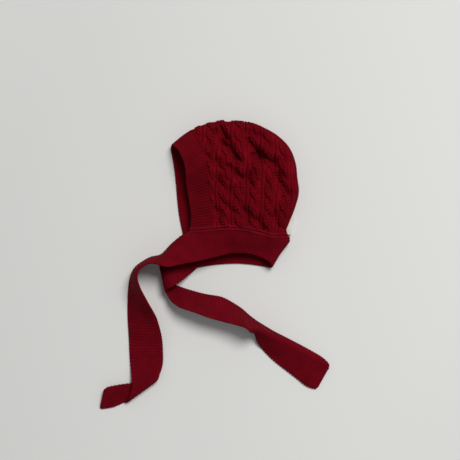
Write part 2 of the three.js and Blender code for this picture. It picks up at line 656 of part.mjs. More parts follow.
function strapGeometry() {
  const near = bandSections('near');
  const far = bandSections('far');
  const nearTie = tieSections(NEAR_TIE, -1, NEAR_TIE_REACH, NEAR_TIE_DROP, rowOfSection(near[0]));
  const farTie = tieSections(FAR_TIE, 1, FAR_TIE_REACH, FAR_TIE_DROP, rowOfSection(far[0]));
  const middle = [...nearTie.reverse(), ...near, ...far.reverse().slice(1), ...farTie];
  const bandFrom = nearTie.length;
  const bandTo = bandFrom + near.length + far.length - 2;
  const loops = middle.map((section, s) => {
    const before = middle[Math.max(s - 1, 0)];
    const after = middle[Math.min(s + 1, middle.length - 1)];
    const last = section.length - 1;
    const outer = [];
    const inner = [];
    section.forEach((point, k) => {
      const along = after[k].clone().sub(before[k]);
      const across = section[Math.min(k + 1, last)].clone().sub(section[Math.max(k - 1, 0)]);
      const normal = point.normal ?? across.cross(along).normalize();
      outer.push(point.clone().addScaledVector(normal, STRAP_WALL / 2));
      inner.push(point.clone().addScaledVector(normal, -STRAP_WALL / 2));
    });
    const seamOut = section[0].clone().sub(section[1]).normalize();
    const freeOut = section[last].clone().sub(section[last - 1]).normalize();
    const round = s >= bandFrom && s <= bandTo ? 0 : STRAP_WALL / 2;
    const seamEdge = section[0].clone().addScaledVector(seamOut, round);
    const freeEdge = section[last].clone().addScaledVector(freeOut, STRAP_WALL / 2);
    return [...outer, freeEdge, ...inner.reverse(), seamEdge];
  });
  const skin = new Skin();
  for (let s = 0; s + 1 < loops.length; s += 1) {
    const count = loops[s].length;
    for (let k = 0; k < count; k += 1) {
      const next = (k + 1) % count;
      skin.quad(loops[s][k], loops[s][next], loops[s + 1][next], loops[s + 1][k]);
    }
  }
  for (const [loop, facing] of [[loops[0], -1], [loops[loops.length - 1], 1]]) {
    const across = STRAP_STEPS.across;
    const innerAt = (k) => loop[2 * across + 2 - k];
    const caps = [];
    for (let k = 0; k < across; k += 1) {
      caps.push([loop[k], loop[k + 1], innerAt(k + 1)], [loop[k], innerAt(k + 1), innerAt(k)]);
    }
    caps.push([loop[across], loop[across + 1], innerAt(across)]);
    caps.push([loop[0], innerAt(0), loop[2 * across + 3]]);
    for (const [a, b, c] of caps) {
      if (facing > 0) {
        skin.triangle(a, b, c);
      } else {
        skin.triangle(c, b, a);
      }
    }
  }
  return skin.geometry();
}

// The side label: a folded tab of tape, straight, that stands out from under the back fold.
function labelGeometry() {
  const lowest = NAPE_LENGTH - LABEL_ABOVE_SEAM;
  const ends = [lowest, lowest - LABEL_LENGTH].map((length) => foldCurve.getPointAt(length / foldLength));
  const along = ends[1].clone().sub(ends[0]).normalize();
  const outward = new THREE.Vector3(along.y, -along.x, 0);
  let bulge = 0;
  const checks = 12;
  for (let i = 0; i <= checks; i += 1) {
    const length = lowest - (LABEL_LENGTH * i) / checks;
    const flat = foldAt(length);
    const cloth = foldCurve.getPointAt(length / foldLength);
    const relief = cableRelief('near', flat.x, flat.y, 1, 0.5);
    bulge = Math.max(bulge, cloth.sub(ends[0]).dot(outward) + relief);
  }
  const under = FOLD_RADIUS - Math.sqrt(FOLD_RADIUS ** 2 - (FOLD_RADIUS - LABEL_HEIGHT) ** 2);
  const inner = GAP + bulge - under;
  const rows = ends.map((end) =>
    [inner, inner + LABEL_WIDTH].map((away) => {
      const point = end.clone().addScaledVector(outward, away);
      return {
        outer: point.clone().setZ(LABEL_HEIGHT + LABEL_THICKNESS / 2),
        inner: point.clone().setZ(LABEL_HEIGHT - LABEL_THICKNESS / 2),
      };
    }),
  );
  return clothGeometry(rows, true);
}

function piece(name, geometry, color) {
  const material = new THREE.MeshStandardMaterial({ color, roughness: 0.95, metalness: 0 });
  const mesh = new THREE.Mesh(geometry, material);
  mesh.name = name;
  return mesh;
}

const bothSides = (make) => ({ near: make('near'), far: make('far') });
const crownRows = foldedGrid(bothSides(crownPatch), CROWN_STEPS, CROWN_WALL, cableRelief);
const faceRows = foldedGrid(bothSides(faceBandPatch), FACE_BAND_STEPS, FACE_BAND_WALL, null);

const bonnet = new THREE.Group();
bonnet.add(piece('crown', clothGeometry(crownRows, false), RED.crown));
bonnet.add(piece('face_band', clothGeometry(faceRows, true), RED.band));
bonnet.add(piece('neck_band_and_ties', strapGeometry(), RED.strap));
bonnet.add(piece('label', labelGeometry(), LABEL_COLOR));

// The origin is at the middle of the underside of the whole bonnet.
const box = new THREE.Box3().setFromObject(bonnet);
const centre = box.getCenter(new THREE.Vector3());
bonnet.position.set(-centre.x, -centre.y, -box.min.z);

const part = new THREE.Group();
part.add(bonnet);

export default part;
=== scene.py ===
"""Knitted baby bonnet lying on its side: cable-knit crown, ribbed face band, one long ribbed strip
that is the neck band and both ties, and a bare side label. Sizes in the tables are millimetres
or shares, as in the part's own frame; every mesh is made in metres."""

import math
from types import SimpleNamespace

import bmesh
import bpy
import numpy as np
from mathutils import Matrix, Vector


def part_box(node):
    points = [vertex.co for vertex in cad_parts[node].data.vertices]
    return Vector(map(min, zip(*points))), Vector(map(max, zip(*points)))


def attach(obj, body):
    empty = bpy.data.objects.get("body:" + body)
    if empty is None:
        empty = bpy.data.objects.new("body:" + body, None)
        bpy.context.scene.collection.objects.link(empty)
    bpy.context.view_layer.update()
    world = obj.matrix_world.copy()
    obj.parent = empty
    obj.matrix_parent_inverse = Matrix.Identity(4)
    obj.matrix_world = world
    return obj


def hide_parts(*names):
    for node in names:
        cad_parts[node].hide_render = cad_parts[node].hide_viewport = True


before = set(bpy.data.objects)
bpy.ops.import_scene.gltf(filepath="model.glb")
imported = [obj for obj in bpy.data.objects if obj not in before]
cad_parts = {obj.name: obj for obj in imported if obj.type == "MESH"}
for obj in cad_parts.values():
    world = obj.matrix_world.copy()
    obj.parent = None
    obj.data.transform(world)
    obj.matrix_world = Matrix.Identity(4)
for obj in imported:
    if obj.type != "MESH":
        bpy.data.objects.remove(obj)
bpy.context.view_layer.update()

bl_info = {
    "name": "Knitted Baby Bonnet",
    "version": (1, 0, 0),
    "blender": (4, 5, 0),
    "location": "View3D > Sidebar > Bonnet",
    "description": "Builds the knitted surfaces of a baby bonnet around its frame",
    "category": "Mesh",
}

BODY = "root"
MERGE = 2e-6  # distance in metres below which two points of a mesh are one
OUTLINE_POINTS = 120  # points on each side of a patch's outline
# The hood's own origin, its upper side's front corner, in the frame, millimetres.
ORIGIN = np.array([-30.218, 39.164, 0.0])

# Sizes of the lying hood, as in the solid.
HOOD_DEPTH = 125
HOOD_HEIGHT = 126
LOFT = 38  # height that the rows below give shares of
FOLD_RADIUS = 9.5  # of the cloth's roll at the fold
CROWN_WALL = 3.5
FACE_BAND_WALL = 3
FACE_BAND_WIDTH = 25
STRAP_WIDTH = 37.5
STRAP_WALL = 2.8
END_ROUND = 5  # radius of the ties' end corners
NEAR_TIE_REACH = 104
NEAR_TIE_DROP = 205
FAR_TIE_REACH = 165
FAR_TIE_DROP = 183
CABLE_SPACING = 16.8  # from wale to wale, with a cable between them
CABLE_START = 8.4  # first wale, from the face band's seam
LABEL_LENGTH = 21
LABEL_WIDTH = 6.5
LABEL_ABOVE_SEAM = 4.5  # from the neck seam to the label's lower end
LABEL_SEWN = 0.9  # how far the tape reaches into the seam
GAP = 0.35  # between the cloths at a seam
FAR_REACH = 8.5  # how far stitches go round the fold to the lower side
BAND_ROW = 2.7  # height of a knitted row of the bands and ties
RIB_SINK = 0.6  # how far the ribs' middle lies under the solid's surface, in half depths
SIDES = ("near", "far")
FACE_SEAM_SHARES = np.linspace(0.12, 0.85, 6)  # shares of the face edge that lead its seam

FOLD_LINE = [
    (-0.148, 0.79), (-0.038, 0.877), (0.074, 0.942), (0.196, 0.982), (0.314, 1.004),
    (0.35, 0.994), (0.42, 1.0), (0.584, 0.975), (0.706, 0.923), (0.818, 0.855),
    (0.92, 0.748), (0.972, 0.62), (0.99, 0.48), (1.003, 0.35), (0.966, 0.205),
    (0.912, 0.07), (0.89, 0.0),
]
NAPE_LINE = [(0.02, 0.1), (-0.07, 0.25), (-0.25, 0.48), (-0.4, 0.72), (-0.5, 0.9)]
NAPE = (0.922, -0.058)
TOP_CORNER = (0.87, 0.805)
BACK_START = (0.6, 0.97)  # where the border along the back fold begins
FACE_EDGE = {
    "near": [
        (0.018, 0.0), (0.028, 0.1), (0.022, 0.19), (-0.002, 0.355), (-0.012, 0.455),
        (-0.018, 0.555), (-0.043, 0.647), (-0.089, 0.734),
    ],
    "far": [(-0.04, -0.055), (-0.078, 0.122), (-0.097, 0.274), (-0.111, 0.435), (-0.131, 0.597)],
}
NECK_SEAM = {
    "near": [
        (0.018, 0.0), (0.17, 0.012), (0.33, 0.027), (0.505, 0.021), (0.63, -0.008), (0.78, -0.045),
    ],
    "far": [(-0.04, -0.055), (0.138, -0.021), (0.34, 0.004), (0.56, 0.003), (0.76, -0.028)],
}
# Rows of the neck band's free edge: share along the seam, drop and forward lean.
BAND_EDGE = {
    "near": [(0.0, 0.95, 0.1), (0.22, 0.87, 0.06), (0.42, 0.76, 0.02), (0.6, 0.72, 0.0),
             (0.78, 0.78, 0.05)],
    "far": [(0.0, 0.92, -0.39), (0.25, 0.98, -0.1), (0.5, 1.0, -0.02), (0.75, 0.98, 0.15)],
}
# Height of the upper side: share of the hood's height, then shares of LOFT from face to back.
HEIGHT_COLUMNS = [0.0, 0.25, 0.5, 0.8]
HEIGHTS = [
    (-0.28, 0.76, 0.5, 0.36, 0.27),
    (0.0, 0.45, 0.72, 0.8, 0.72),
    (0.3, 0.46, 0.8, 0.97, 0.86),
    (0.6, 0.78, 0.93, 1.0, 0.86),
    (0.9, 0.76, 0.8, 0.76, 0.68),
]
EDGE_RISE = 0.8  # share of LOFT inside the fold over which the upper side rises
CREASE_FADE = 2  # fold radii over which the creases fade out towards the fold
CREASE_SAG = 1.7  # the knit sags further into the creases than the solid's surface
CREASE_SPREAD = 1.15  # and over a wider strip
CREASE_SHIFT = (-3.0, -2.5)  # and a little further forwards and down, millimetres
# Creases: from (back, up) to (back, up), then depth and width.
CREASES = [
    (0.335, 0.96, 0.36, 0.82, 0.13, 0.03),
    (0.36, 0.82, 0.475, 0.66, 0.19, 0.036),
    (0.27, 0.91, 0.33, 0.88, 0.09, 0.032),
    (0.23, 0.69, 0.35, 0.59, 0.08, 0.032),
    (0.41, 0.58, 0.52, 0.47, 0.12, 0.032),
    (0.58, 0.82, 0.65, 0.7, 0.21, 0.05),
    (0.65, 0.7, 0.79, 0.64, 0.15, 0.045),
    (0.54, 0.93, 0.7, 0.88, 0.09, 0.032),
    (0.81, 0.63, 0.85, 0.5, 0.1, 0.042),
    (0.85, 0.5, 0.91, 0.36, 0.14, 0.042),
    (0.58, 0.5, 0.6, 0.46, 0.14, 0.04),
    (0.32, 0.48, 0.39, 0.39, 0.09, 0.036),
    (0.36, 0.26, 0.42, 0.2, 0.06, 0.032),
    (0.55, 0.19, 0.57, 0.13, 0.12, 0.038),
    (0.29, 0.2, 0.31, 0.13, 0.09, 0.034),
    (0.66, 0.11, 0.7, 0.04, 0.09, 0.034),
    (0.81, 0.16, 0.84, 0.08, 0.1, 0.034),
]
# Rows of the ties: out, down, rise, heading, tilt, chord, bow, as in the solid. Where the strip
# stands like a roof, the place of its crest and the degrees it turns down there follow.
NEAR_TIE = [
    (0.055, 0.022, 0.44, -100, 24, 0.98, 0.02),
    (0.177, 0.073, 0.42, -96, 42, 0.88, 0.05),
    (0.299, 0.135, 0.26, -88, 71, 0.84, 0.07),
    (0.42, 0.153, 0.04, -64, 82, 0.95, 0.05),
    (0.52, 0.181, 0, -30, 83, 0.95, 0.04),
    (0.583, 0.206, 0, -16, 81, 0.95, 0.04),
    (0.626, 0.241, 0, -19, 77, 0.95, 0.03),
    (0.65, 0.284, 0, -15, 69, 0.95, 0.02),
    (0.663, 0.347, 0, -6, 58, 0.96, 0),
    (0.667, 0.415, 0, -2, 44, 0.97, 0),
    (0.666, 0.488, 0, 0, 27, 0.98, 0),
    (0.653, 0.6, 0, 0, 12, 1, 0.01),
    (0.642, 0.72, 0.01, 6, 4, 0.98, 0.02),
    (0.624, 0.805, 0.14, 17, 0, 0.95, 0.03),
    (0.618, 0.872, 0.25, 28, -2, 0.95, 0.03),
    (0.655, 0.935, 0.235, 34, -2, 1.04, 0.02),
    (0.682, 0.956, 0.13, 36, 0, 1.06, 0),
    (0.71, 0.96, 0.01, 38, 0, 0.99, 0),
    (0.83, 0.984, 0, 56, 4, 0.84, 0),
    (0.985, 0.996, 0, 77, 12, 0.66, 0.02),
]
FAR_TIE = [
    (-0.07, 0.065, 0, -64, 2, 1, 0),
    (-0.122, 0.11, 0.05, -61, 11, 0.98, 0.02),
    (-0.163, 0.157, 0.11, -61, 21, 0.95, 0.05),
    (-0.184, 0.19, 0.17, -67, 26, 0.9, 0.08),
    (-0.196, 0.216, 0.13, -76, 24, 0.82, 0.09),
    (-0.188, 0.245, 0.02, -76, 23, 0.79, 0.02),
    (-0.166, 0.292, 0, -73, 29, 0.81, -0.05),
    (-0.121, 0.333, 0, -70, 38, 0.88, -0.05),
    (-0.061, 0.355, 0, -71, 45, 0.94, 0.02),
    (0.022, 0.379, 0, -76, 49, 0.95, 0),
    (0.12, 0.402, 0, -84, 50, 0.97, 0),
    (0.23, 0.42, 0, -89, 48, 0.98, 0),
    (0.3, 0.452, 0, -84, 53, 0.98, 0),
    (0.37, 0.494, 0, -80, 61, 0.99, 0, 1.08, 110),
    (0.4147, 0.53, 0, -86, 66, 0.95, 0, 0.99, 125),
    (0.4635, 0.564, 0, -100, 72, 0.97, 0, 0.74, 150),
    (0.519, 0.596, 0, -112, 76, 1, 0, 0.5, 125),
    (0.592, 0.635, 0, -119, 75, 1, 0, 0.38, 113),
    (0.676, 0.674, 0, -121, 72, 0.97, 0, 0.27, 96),
    (0.767, 0.716, 0, -121, 65, 0.96, 0, 0.2, 79),
    (0.857, 0.76, 0, -120, 55, 0.97, 0, 0.15, 63),
    (0.927, 0.798, 0, -119, 40, 0.98, 0, 0.12, 44),
    (0.985, 0.845, 0, -119, 25, 0.86, 0, 0.12, 29),
]
SECTION_STEPS = 12  # sections of the strip for each row of a tie
BAND_STEPS = 64  # sections of the strip along each side of the neck
ACROSS_STEPS = 16  # points of a section, less one
CREST_ROUND = 0.16  # share of the width over which a section turns
CREST_STEPS = 6  # parts of a section's step in which it turns
FINER = 3  # sections for each one, before they are spread at even steps


# Curves and the folded surface


def mix(a, b, t):
    return a + (b - a) * t


def smooth(t):
    c = np.clip(t, 0, 1)
    return c * c * (3 - 2 * c)


def unit(vectors):
    return vectors / np.maximum(np.linalg.norm(vectors, axis=-1, keepdims=True), 1e-12)


def catmull_points(points, places):
    """Points of a centripetal Catmull-Rom curve at places counted in its own points."""
    pts = np.asarray(points, float)
    last = len(pts) - 1
    padded = np.vstack([2 * pts[0] - pts[1], pts, 2 * pts[-1] - pts[-2]])
    i = np.clip(np.floor(places).astype(int), 0, last - 1)
    w = (places - i)[:, None]
    p0, p1, p2, p3 = (padded[i + k] for k in range(4))
    spans = []
    for a, b in ((p0, p1), (p1, p2), (p2, p3)):
        spans.append(np.maximum(np.sum((a - b) ** 2, axis=1), 1e-12)[:, None] ** 0.25)
    d0, d1, d2 = spans
    t1 = ((p1 - p0) / d0 - (p2 - p0) / (d0 + d1) + (p2 - p1) / d1) * d1
    t2 = ((p2 - p1) / d1 - (p3 - p1) / (d1 + d2) + (p3 - p2) / d2) * d1
    c2 = -3 * p1 + 3 * p2 - 2 * t1 - t2
    c3 = 2 * p1 - 2 * p2 + t1 + t2
    return p1 + t1 * w + c2 * w**2 + c3 * w**3


def lengths_along(line):
    """Length from the first point to each point of a line."""
    return np.concatenate([[0], np.cumsum(np.linalg.norm(np.diff(line, axis=0), axis=1))])


class Line:
    """A smooth curve through points, read by share of its length."""

    FINE = 1500

    def __init__(self, points):
        places = np.linspace(0, len(points) - 1, self.FINE)
        self.fine = catmull_points(points, places)
        self.along = lengths_along(self.fine)
        self.length = self.along[-1]

    def at(self, share):
        where = np.asarray(share, float) * self.length
        return np.stack([np.interp(where, self.along, self.fine[:, k]) for k in range(2)], axis=-1)

    def direction(self, share):
        step = 1e-3
        share = np.asarray(share, float)
        return unit(self.at(np.clip(share + step, 0, 1)) - self.at(np.clip(share - step, 0, 1)))


def hood_points(rows):
    return [(back * HOOD_DEPTH, up * HOOD_HEIGHT) for back, up in rows]


nape = np.array(hood_points([NAPE])[0])
fold_curve = Line(
    hood_points(FOLD_LINE)
    + [(nape[0] + back * STRAP_WIDTH, nape[1] - down * STRAP_WIDTH) for back, down in NAPE_LINE]
)
ROLL_SPREAD = (math.pi / 2 - 1) * FOLD_RADIUS
FOLD_SAMPLES = 400
CHUNK = 4000  # points that are set against the fold line at a time
fold_shares = np.linspace(0, 1, FOLD_SAMPLES + 1)
fold_along = fold_curve.direction(fold_shares)
fold_outward = np.stack([-fold_along[:, 1], fold_along[:, 0]], axis=1)
fold_flat = fold_curve.at(fold_shares) + fold_outward * ROLL_SPREAD


def fold_at(length):
    place = np.clip(np.asarray(length, float) / fold_curve.length, 0, 1)
    return np.stack([np.interp(place, fold_shares, fold_flat[:, k]) for k in range(2)], axis=-1)


def fold_length_near(point):
    away = np.linalg.norm(fold_curve.at(fold_shares) - np.asarray(point), axis=1)
    return fold_shares[np.argmin(away)] * fold_curve.length


def inside_fold(flat):
    """How far inside the fold line flat points lie, the outward direction and length there."""
    start, end = fold_flat[:-1], fold_flat[1:]
    span = end - start
    size = np.sum(span**2, axis=1)
    inside = np.empty(len(flat))
    outward = np.empty((len(flat), 2))
    length = np.empty(len(flat))
    for first in range(0, len(flat), CHUNK):
        done = slice(first, first + CHUNK)
        part = flat[done]
        rel = part[:, None, :] - start[None]
        t = np.clip(np.sum(rel * span[None], axis=2) / size[None], 0, 1)
        away = np.linalg.norm(rel - t[..., None] * span[None], axis=2)
        i = np.argmin(away, axis=1)
        rows = np.arange(len(part))
        least, ti = away[rows, i], t[rows, i][:, None]
        out = unit(mix(fold_outward[i], fold_outward[i + 1], ti))
        foot = mix(start[i], end[i], ti)
        beyond = np.sum((part - foot) * out, axis=1) > 0
        inside[done] = np.where(beyond, -least, least)
        outward[done] = out
        length[done] = (i + ti[:, 0]) / FOLD_SAMPLES * fold_curve.length
    return inside, outward, length


def through(a, b, c, d, t):
    """Smooth step from b to c, with a and d as their outer neighbours."""
    return b + 0.5 * t * (c - a + t * (2 * a - 5 * b + 4 * c - d + t * (3 * (b - c) + d - a)))


def sampled(places, values, x):
    """Smooth value at x of a row of samples; values may hold one array for each place."""
    places = np.asarray(places, float)
    last = len(places) - 1
    held = np.clip(x, places[0], places[-1])
    i = np.clip(np.searchsorted(places, held, side="left") - 1, 0, last - 1)
    t = (held - places[i]) / (places[i + 1] - places[i])
    values = np.asarray(values, float)
    if values.ndim == 1:
        values = values[:, None] * np.ones(np.shape(held))[None]
    rows = np.arange(values.shape[1])
    around = (np.maximum(i - 1, 0), i, i + 1, np.minimum(i + 2, last))
    return through(*(values[place, rows] for place in around), t)


def height_share(back, up):
    rows = [sampled(HEIGHT_COLUMNS, row[1:], back) for row in HEIGHTS]
    return sampled([row[0] for row in HEIGHTS], np.stack(rows), up)


def crease_depth(x, y):
    depth = np.zeros(len(x))
    for back, up, to_back, to_up, deep, wide in CREASES:
        ax, ay = back * HOOD_DEPTH, up * HOOD_HEIGHT
        dx, dy = to_back * HOOD_DEPTH - ax, to_up * HOOD_HEIGHT - ay
        ax, ay = ax + CREASE_SHIFT[0], ay + CREASE_SHIFT[1]
        t = np.clip(((x - ax) * dx + (y - ay) * dy) / (dx * dx + dy * dy), 0, 1)
        away = np.hypot(x - ax - t * dx, y - ay - t * dy) / (wide * CREASE_SPREAD * HOOD_DEPTH)
        depth += deep * CREASE_SAG * LOFT * np.exp(-away * away)
    return depth


def surface(side, flat):
    """Outer surface of the lying hood at flat points of its upper (near) or lower (far) side."""
    inside, outward, _ = inside_fold(flat)
    turn = np.minimum(inside / FOLD_RADIUS, math.pi / 2)
    rolled = FOLD_RADIUS * (1 - np.cos(turn)) - inside + ROLL_SPREAD
    shift = np.where(inside / FOLD_RADIUS < math.pi / 2, rolled, 0)
    x = flat[:, 0] - outward[:, 0] * shift
    y = flat[:, 1] - outward[:, 1] * shift
    if side == "far":
        return np.stack([x, y, FOLD_RADIUS * (1 - np.sin(turn))], axis=1)
    rise = smooth(inside / (EDGE_RISE * LOFT))
    full = height_share(x / HOOD_DEPTH, y / HOOD_HEIGHT) * LOFT - 2 * FOLD_RADIUS
    dent = crease_depth(x, y) * smooth(inside / (CREASE_FADE * FOLD_RADIUS))
    return np.stack([x, y, FOLD_RADIUS * (1 + np.sin(turn)) + full * rise - dent], axis=1)


def surface_frame(side, flat, heading):
    """Point, outward normal and the direction in space of a flat heading."""
    step = 0.3
    right, up = np.array([step, 0]), np.array([0, step])
    normal = unit(
        np.cross(
            surface(side, flat + right) - surface(side, flat - right),
            surface(side, flat + up) - surface(side, flat - up),
        )
    )
    if side == "far":
        normal = -normal
    along = surface(side, flat + heading * step) - surface(side, flat - heading * step)
    along = unit(along - normal * np.sum(along * normal, axis=1, keepdims=True))
    return surface(side, flat), normal, along


def patch(bottom, top, left, right):
    """Flat patch between four boundary curves, given as functions of 0 to 1."""

    def at(u, v):
        u1, v1 = u[..., None], v[..., None]
        across = bottom(u) * (1 - v1) + top(u) * v1
        upright = left(v) * (1 - u1) + right(v) * u1
        zero, one = np.zeros(1), np.ones(1)
        low = bottom(zero) * (1 - u1) + bottom(one) * u1
        high = top(zero) * (1 - u1) + top(one) * u1
        return across + upright - low * (1 - v1) - high * v1

    return at


# Lengths along the fold from the face edge.
NAPE_LENGTH = fold_length_near(nape)
BACK_LENGTH = fold_length_near(hood_points([TOP_CORNER])[0])
BACK_FROM = fold_length_near(hood_points([BACK_START])[0])
face_edge = {}
neck_seam = {}
for hood_side in SIDES:
    face_edge[hood_side] = Line(hood_points(FACE_EDGE[hood_side]) + [fold_at(0)])
    neck_seam[hood_side] = Line(hood_points(NECK_SEAM[hood_side]) + [fold_at(NAPE_LENGTH)])


def fold_part(start, end):
    """The fold line between two lengths, as a function of 0 to 1."""
    return lambda t: fold_at(mix(start, end, t))


def curve_part(curve, start, end):
    """A curve between two shares of its length, as a function of 0 to 1."""
    return lambda t: curve.at(mix(start, end, t))


def beside(curve, t, distance):
    """Points at a distance to the right of a curve."""
    along = curve.direction(t)
    return curve.at(t) + np.stack([along[..., 1], -along[..., 0]], axis=-1) * distance


def seam_share(side):
    """Share of the neck seam that the face band takes up."""
    return FACE_BAND_WIDTH / neck_seam[side].length


def face_seam(side):
    """Seam of face band and crown, one band's width inside the face edge."""
    points = [neck_seam[side].at(seam_share(side))]
    for t in FACE_SEAM_SHARES:
        points.append(beside(face_edge[side], t, FACE_BAND_WIDTH))
    return Line([*points, fold_at(FACE_BAND_WIDTH)])


def lifted(curve, gap):
    """A curve whose start is moved up by the gap, and its end not at all."""
    return lambda t: curve(t) + np.stack([np.zeros_like(t), gap * (1 - t)], axis=-1)


def crown_patch(side):
    share = seam_share(side) + GAP / neck_seam[side].length
    seam = face_seam(side)
    lower = curve_part(neck_seam[side], share, 1)
    nudge = fold_at(NAPE_LENGTH - GAP) - fold_at(NAPE_LENGTH)
    zero, one = np.zeros(1), np.ones(1)

    def left(t):
        return beside(seam, t, GAP) + np.stack([np.zeros_like(t), GAP * (1 - t)], axis=-1)

    def bottom(t):
        return lower(t) + np.stack([nudge[0] * t, mix(GAP, nudge[1], t)], axis=-1)

    top = fold_part(FACE_BAND_WIDTH + GAP, BACK_LENGTH)
    start, top_start = left(zero) - bottom(zero), left(one) - top(zero)

    def bottom_met(t):
        return bottom(t) + start * (1 - t[..., None])

    def left_met(t):
        return left(t) - top_start * t[..., None]

    return patch(bottom_met, top, left_met, fold_part(NAPE_LENGTH - GAP, BACK_LENGTH))


def face_band_patch(side):
    foot = curve_part(neck_seam[side], 0, seam_share(side))
    return patch(
        lambda t: foot(t) + np.array([0, GAP]),
        fold_part(0, FACE_BAND_WIDTH),
        lifted(curve_part(face_edge[side], 0, 1), GAP),
        lifted(curve_part(face_seam(side), 0, 1), GAP),
    )


def neck_band_patch(side):
    edge = []
    for along, down, lean in BAND_EDGE[side]:
        seam = neck_seam[side].at(along)
        edge.append((seam[0] - lean * STRAP_WIDTH, seam[1] - down * STRAP_WIDTH))
    free = Line([*edge, fold_at(fold_curve.length)])
    low, high = free.at(0), neck_seam[side].at(0)
    return patch(
        curve_part(free, 0, 1),
        curve_part(neck_seam[side], 0, 1),
        lambda t: mix(low, high, t[..., None]),
        fold_part(fold_curve.length, NAPE_LENGTH),
    )


# Grids of points and closed meshes from them


def grid_normals(points):
    """Normals of a grid of points, rows first."""
    return unit(np.cross(np.gradient(points, axis=1), np.gradient(points, axis=0)))


def folded_grid(patches, around, up):
    """Points, flat points and patch places up the near side, over the fold, down the far side."""
    u = np.linspace(0, 1, around + 1)
    v = np.linspace(0, 1, up + 1)
    grids, flats = [], []
    for side in SIDES:
        uu, vv = np.meshgrid(u, v)
        flat = patches[side](uu, vv).reshape(-1, 2)
        grids.append(surface(side, flat).reshape(up + 1, around + 1, 3))
        flats.append(flat.reshape(up + 1, around + 1, 2))
    return tuple(np.concatenate([near, far[-2::-1]]) for near, far in (grids, flats))


def shell(outer, inner, rims):
    """Vertices and quads of a closed cloth. rims gives points that round the free edges."""
    rows, columns = outer.shape[:2]
    blocks = [outer.reshape(-1, 3), inner.reshape(-1, 3)]
    index = np.arange(rows * columns).reshape(rows, columns)
    back = index + rows * columns
    quads = [
        np.stack([index[:-1, :-1], index[:-1, 1:], index[1:, 1:], index[1:, :-1]], axis=-1),
        np.stack([back[1:, :-1], back[1:, 1:], back[:-1, 1:], back[:-1, :-1]], axis=-1),
    ]
    quads = [q.reshape(-1, 4) for q in quads]
    used = 2 * rows * columns
    for edge, middle in rims.items():
        if edge in ("left", "right"):
            column = 0 if edge == "left" else columns - 1
            line, under = index[:, column], back[:, column]
        else:
            row = 0 if edge == "first" else rows - 1
            line, under = index[row], back[row]
        chain = [line]
        for points in middle:
            blocks.append(points)
            chain.append(used + np.arange(len(points)))
            used += len(points)
        chain.append(under)
        for a, b in zip(chain, chain[1:]):
            quads.append(np.stack([a[1:], a[:-1], b[:-1], b[1:]], axis=-1))
    return np.concatenate(blocks), np.concatenate(quads)


def round_rim(outer, inner, outwards, amount):
    """Three points that round an edge between its outer and inner line."""
    places = ((0.2, 0.7), (0.5, 1.0), (0.8, 0.7))
    return [mix(outer, inner, share) + outwards * amount * reach for share, reach in places]


def in_metres(points):
    """Points of the frame in metres, from millimetres in the hood's own place."""
    return ((points + ORIGIN) / 1000).tolist()


def placed_piece(name, data):
    piece = bpy.data.objects.new(name, data)
    bpy.context.scene.collection.objects.link(piece)
    return piece


def mesh_object(name, points, faces, uv, material):
    """A smooth closed mesh, with the corners of its map where it has one."""
    mesh = bpy.data.meshes.new(name)
    mesh.from_pydata(in_metres(points), [], faces.tolist())
    if uv is not None:
        layer = mesh.uv_layers.new(name="UVMap")
        corner = np.empty(len(mesh.loops), dtype=np.int32)
        mesh.loops.foreach_get("vertex_index", corner)
        layer.data.foreach_set("uv", uv[corner].astype(np.float32).ravel())
    work = bmesh.new()
    work.from_mesh(mesh)
    bmesh.ops.remove_doubles(work, verts=work.verts, dist=MERGE)
    bmesh.ops.recalc_face_normals(work, faces=work.faces)
    work.to_mesh(mesh)
    work.free()
    mesh.shade_smooth()
    mesh.materials.append(material)
    return placed_piece(name, mesh)


def dressed(piece, slot, *nodes):
    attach(piece, BODY)
    if nodes:
        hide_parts(*nodes)


# The strip of neck band and ties


def tie_section(seam, heading, tilt, chord, bow, crest, turn):
    """Points of a section from its seam edge to its free edge."""
    h, t = math.radians(heading), math.radians(tilt)
    across = np.array([math.cos(h) * math.cos(t), math.sin(h) * math.cos(t), math.sin(t)])
    bulge = np.array([-math.cos(h) * math.sin(t), -math.sin(h) * math.sin(t), math.cos(t)])
    count = ACROSS_STEPS * CREST_STEPS
    middles = (np.arange(count) + 0.5) / count
    down = math.radians(turn) * smooth((middles - crest) / CREST_ROUND + 0.5)[:, None]
    steps = (across * np.cos(down) - bulge * np.sin(down)) * chord * STRAP_WIDTH / count
    points = seam + np.concatenate([np.zeros((1, 3)), np.cumsum(steps, axis=0)])[::CREST_STEPS]
    w = np.linspace(0, 1, ACROSS_STEPS + 1)[:, None]
    points += bulge * 4 * w * (1 - w) * bow * STRAP_WIDTH
    points[:, 2] = np.maximum(points[:, 2], STRAP_WALL / 2)
    return points


def tie_sections(table, forwards, reach, drop, start):
    seams, shapes = [start[0]], [start[1]]
    for out, down, rise, *shape in table:
        seams.append((forwards * out * reach, -down * drop, max(rise * LOFT, STRAP_WALL / 2)))
        shapes.append(shape if len(shape) == 6 else [*shape, 1, 0])
    count = (len(seams) - 1) * SECTION_STEPS
    places = np.arange(1, count + 1) / SECTION_STEPS
    path = catmull_points(seams, places)
    path[:, 2] = np.maximum(path[:, 2], STRAP_WALL / 2)
    shapes = np.array(shapes, float)
    rows = np.arange(len(seams))
    blended = [sampled(rows, shapes[:, k], places) for k in range(shapes.shape[1])]
    return [tie_section(path[i], *(b[i] for b in blended)) for i in range(count)]


def row_of_section(section):
    across = section[-1] - section[0]
    flat = math.hypot(across[0], across[1])
    shape = [
        math.degrees(math.atan2(across[1], across[0])),
        math.degrees(math.atan2(across[2], flat)),
        np.linalg.norm(across) / STRAP_WIDTH,
        0,
        1,
        0,
    ]
    return section[0], shape


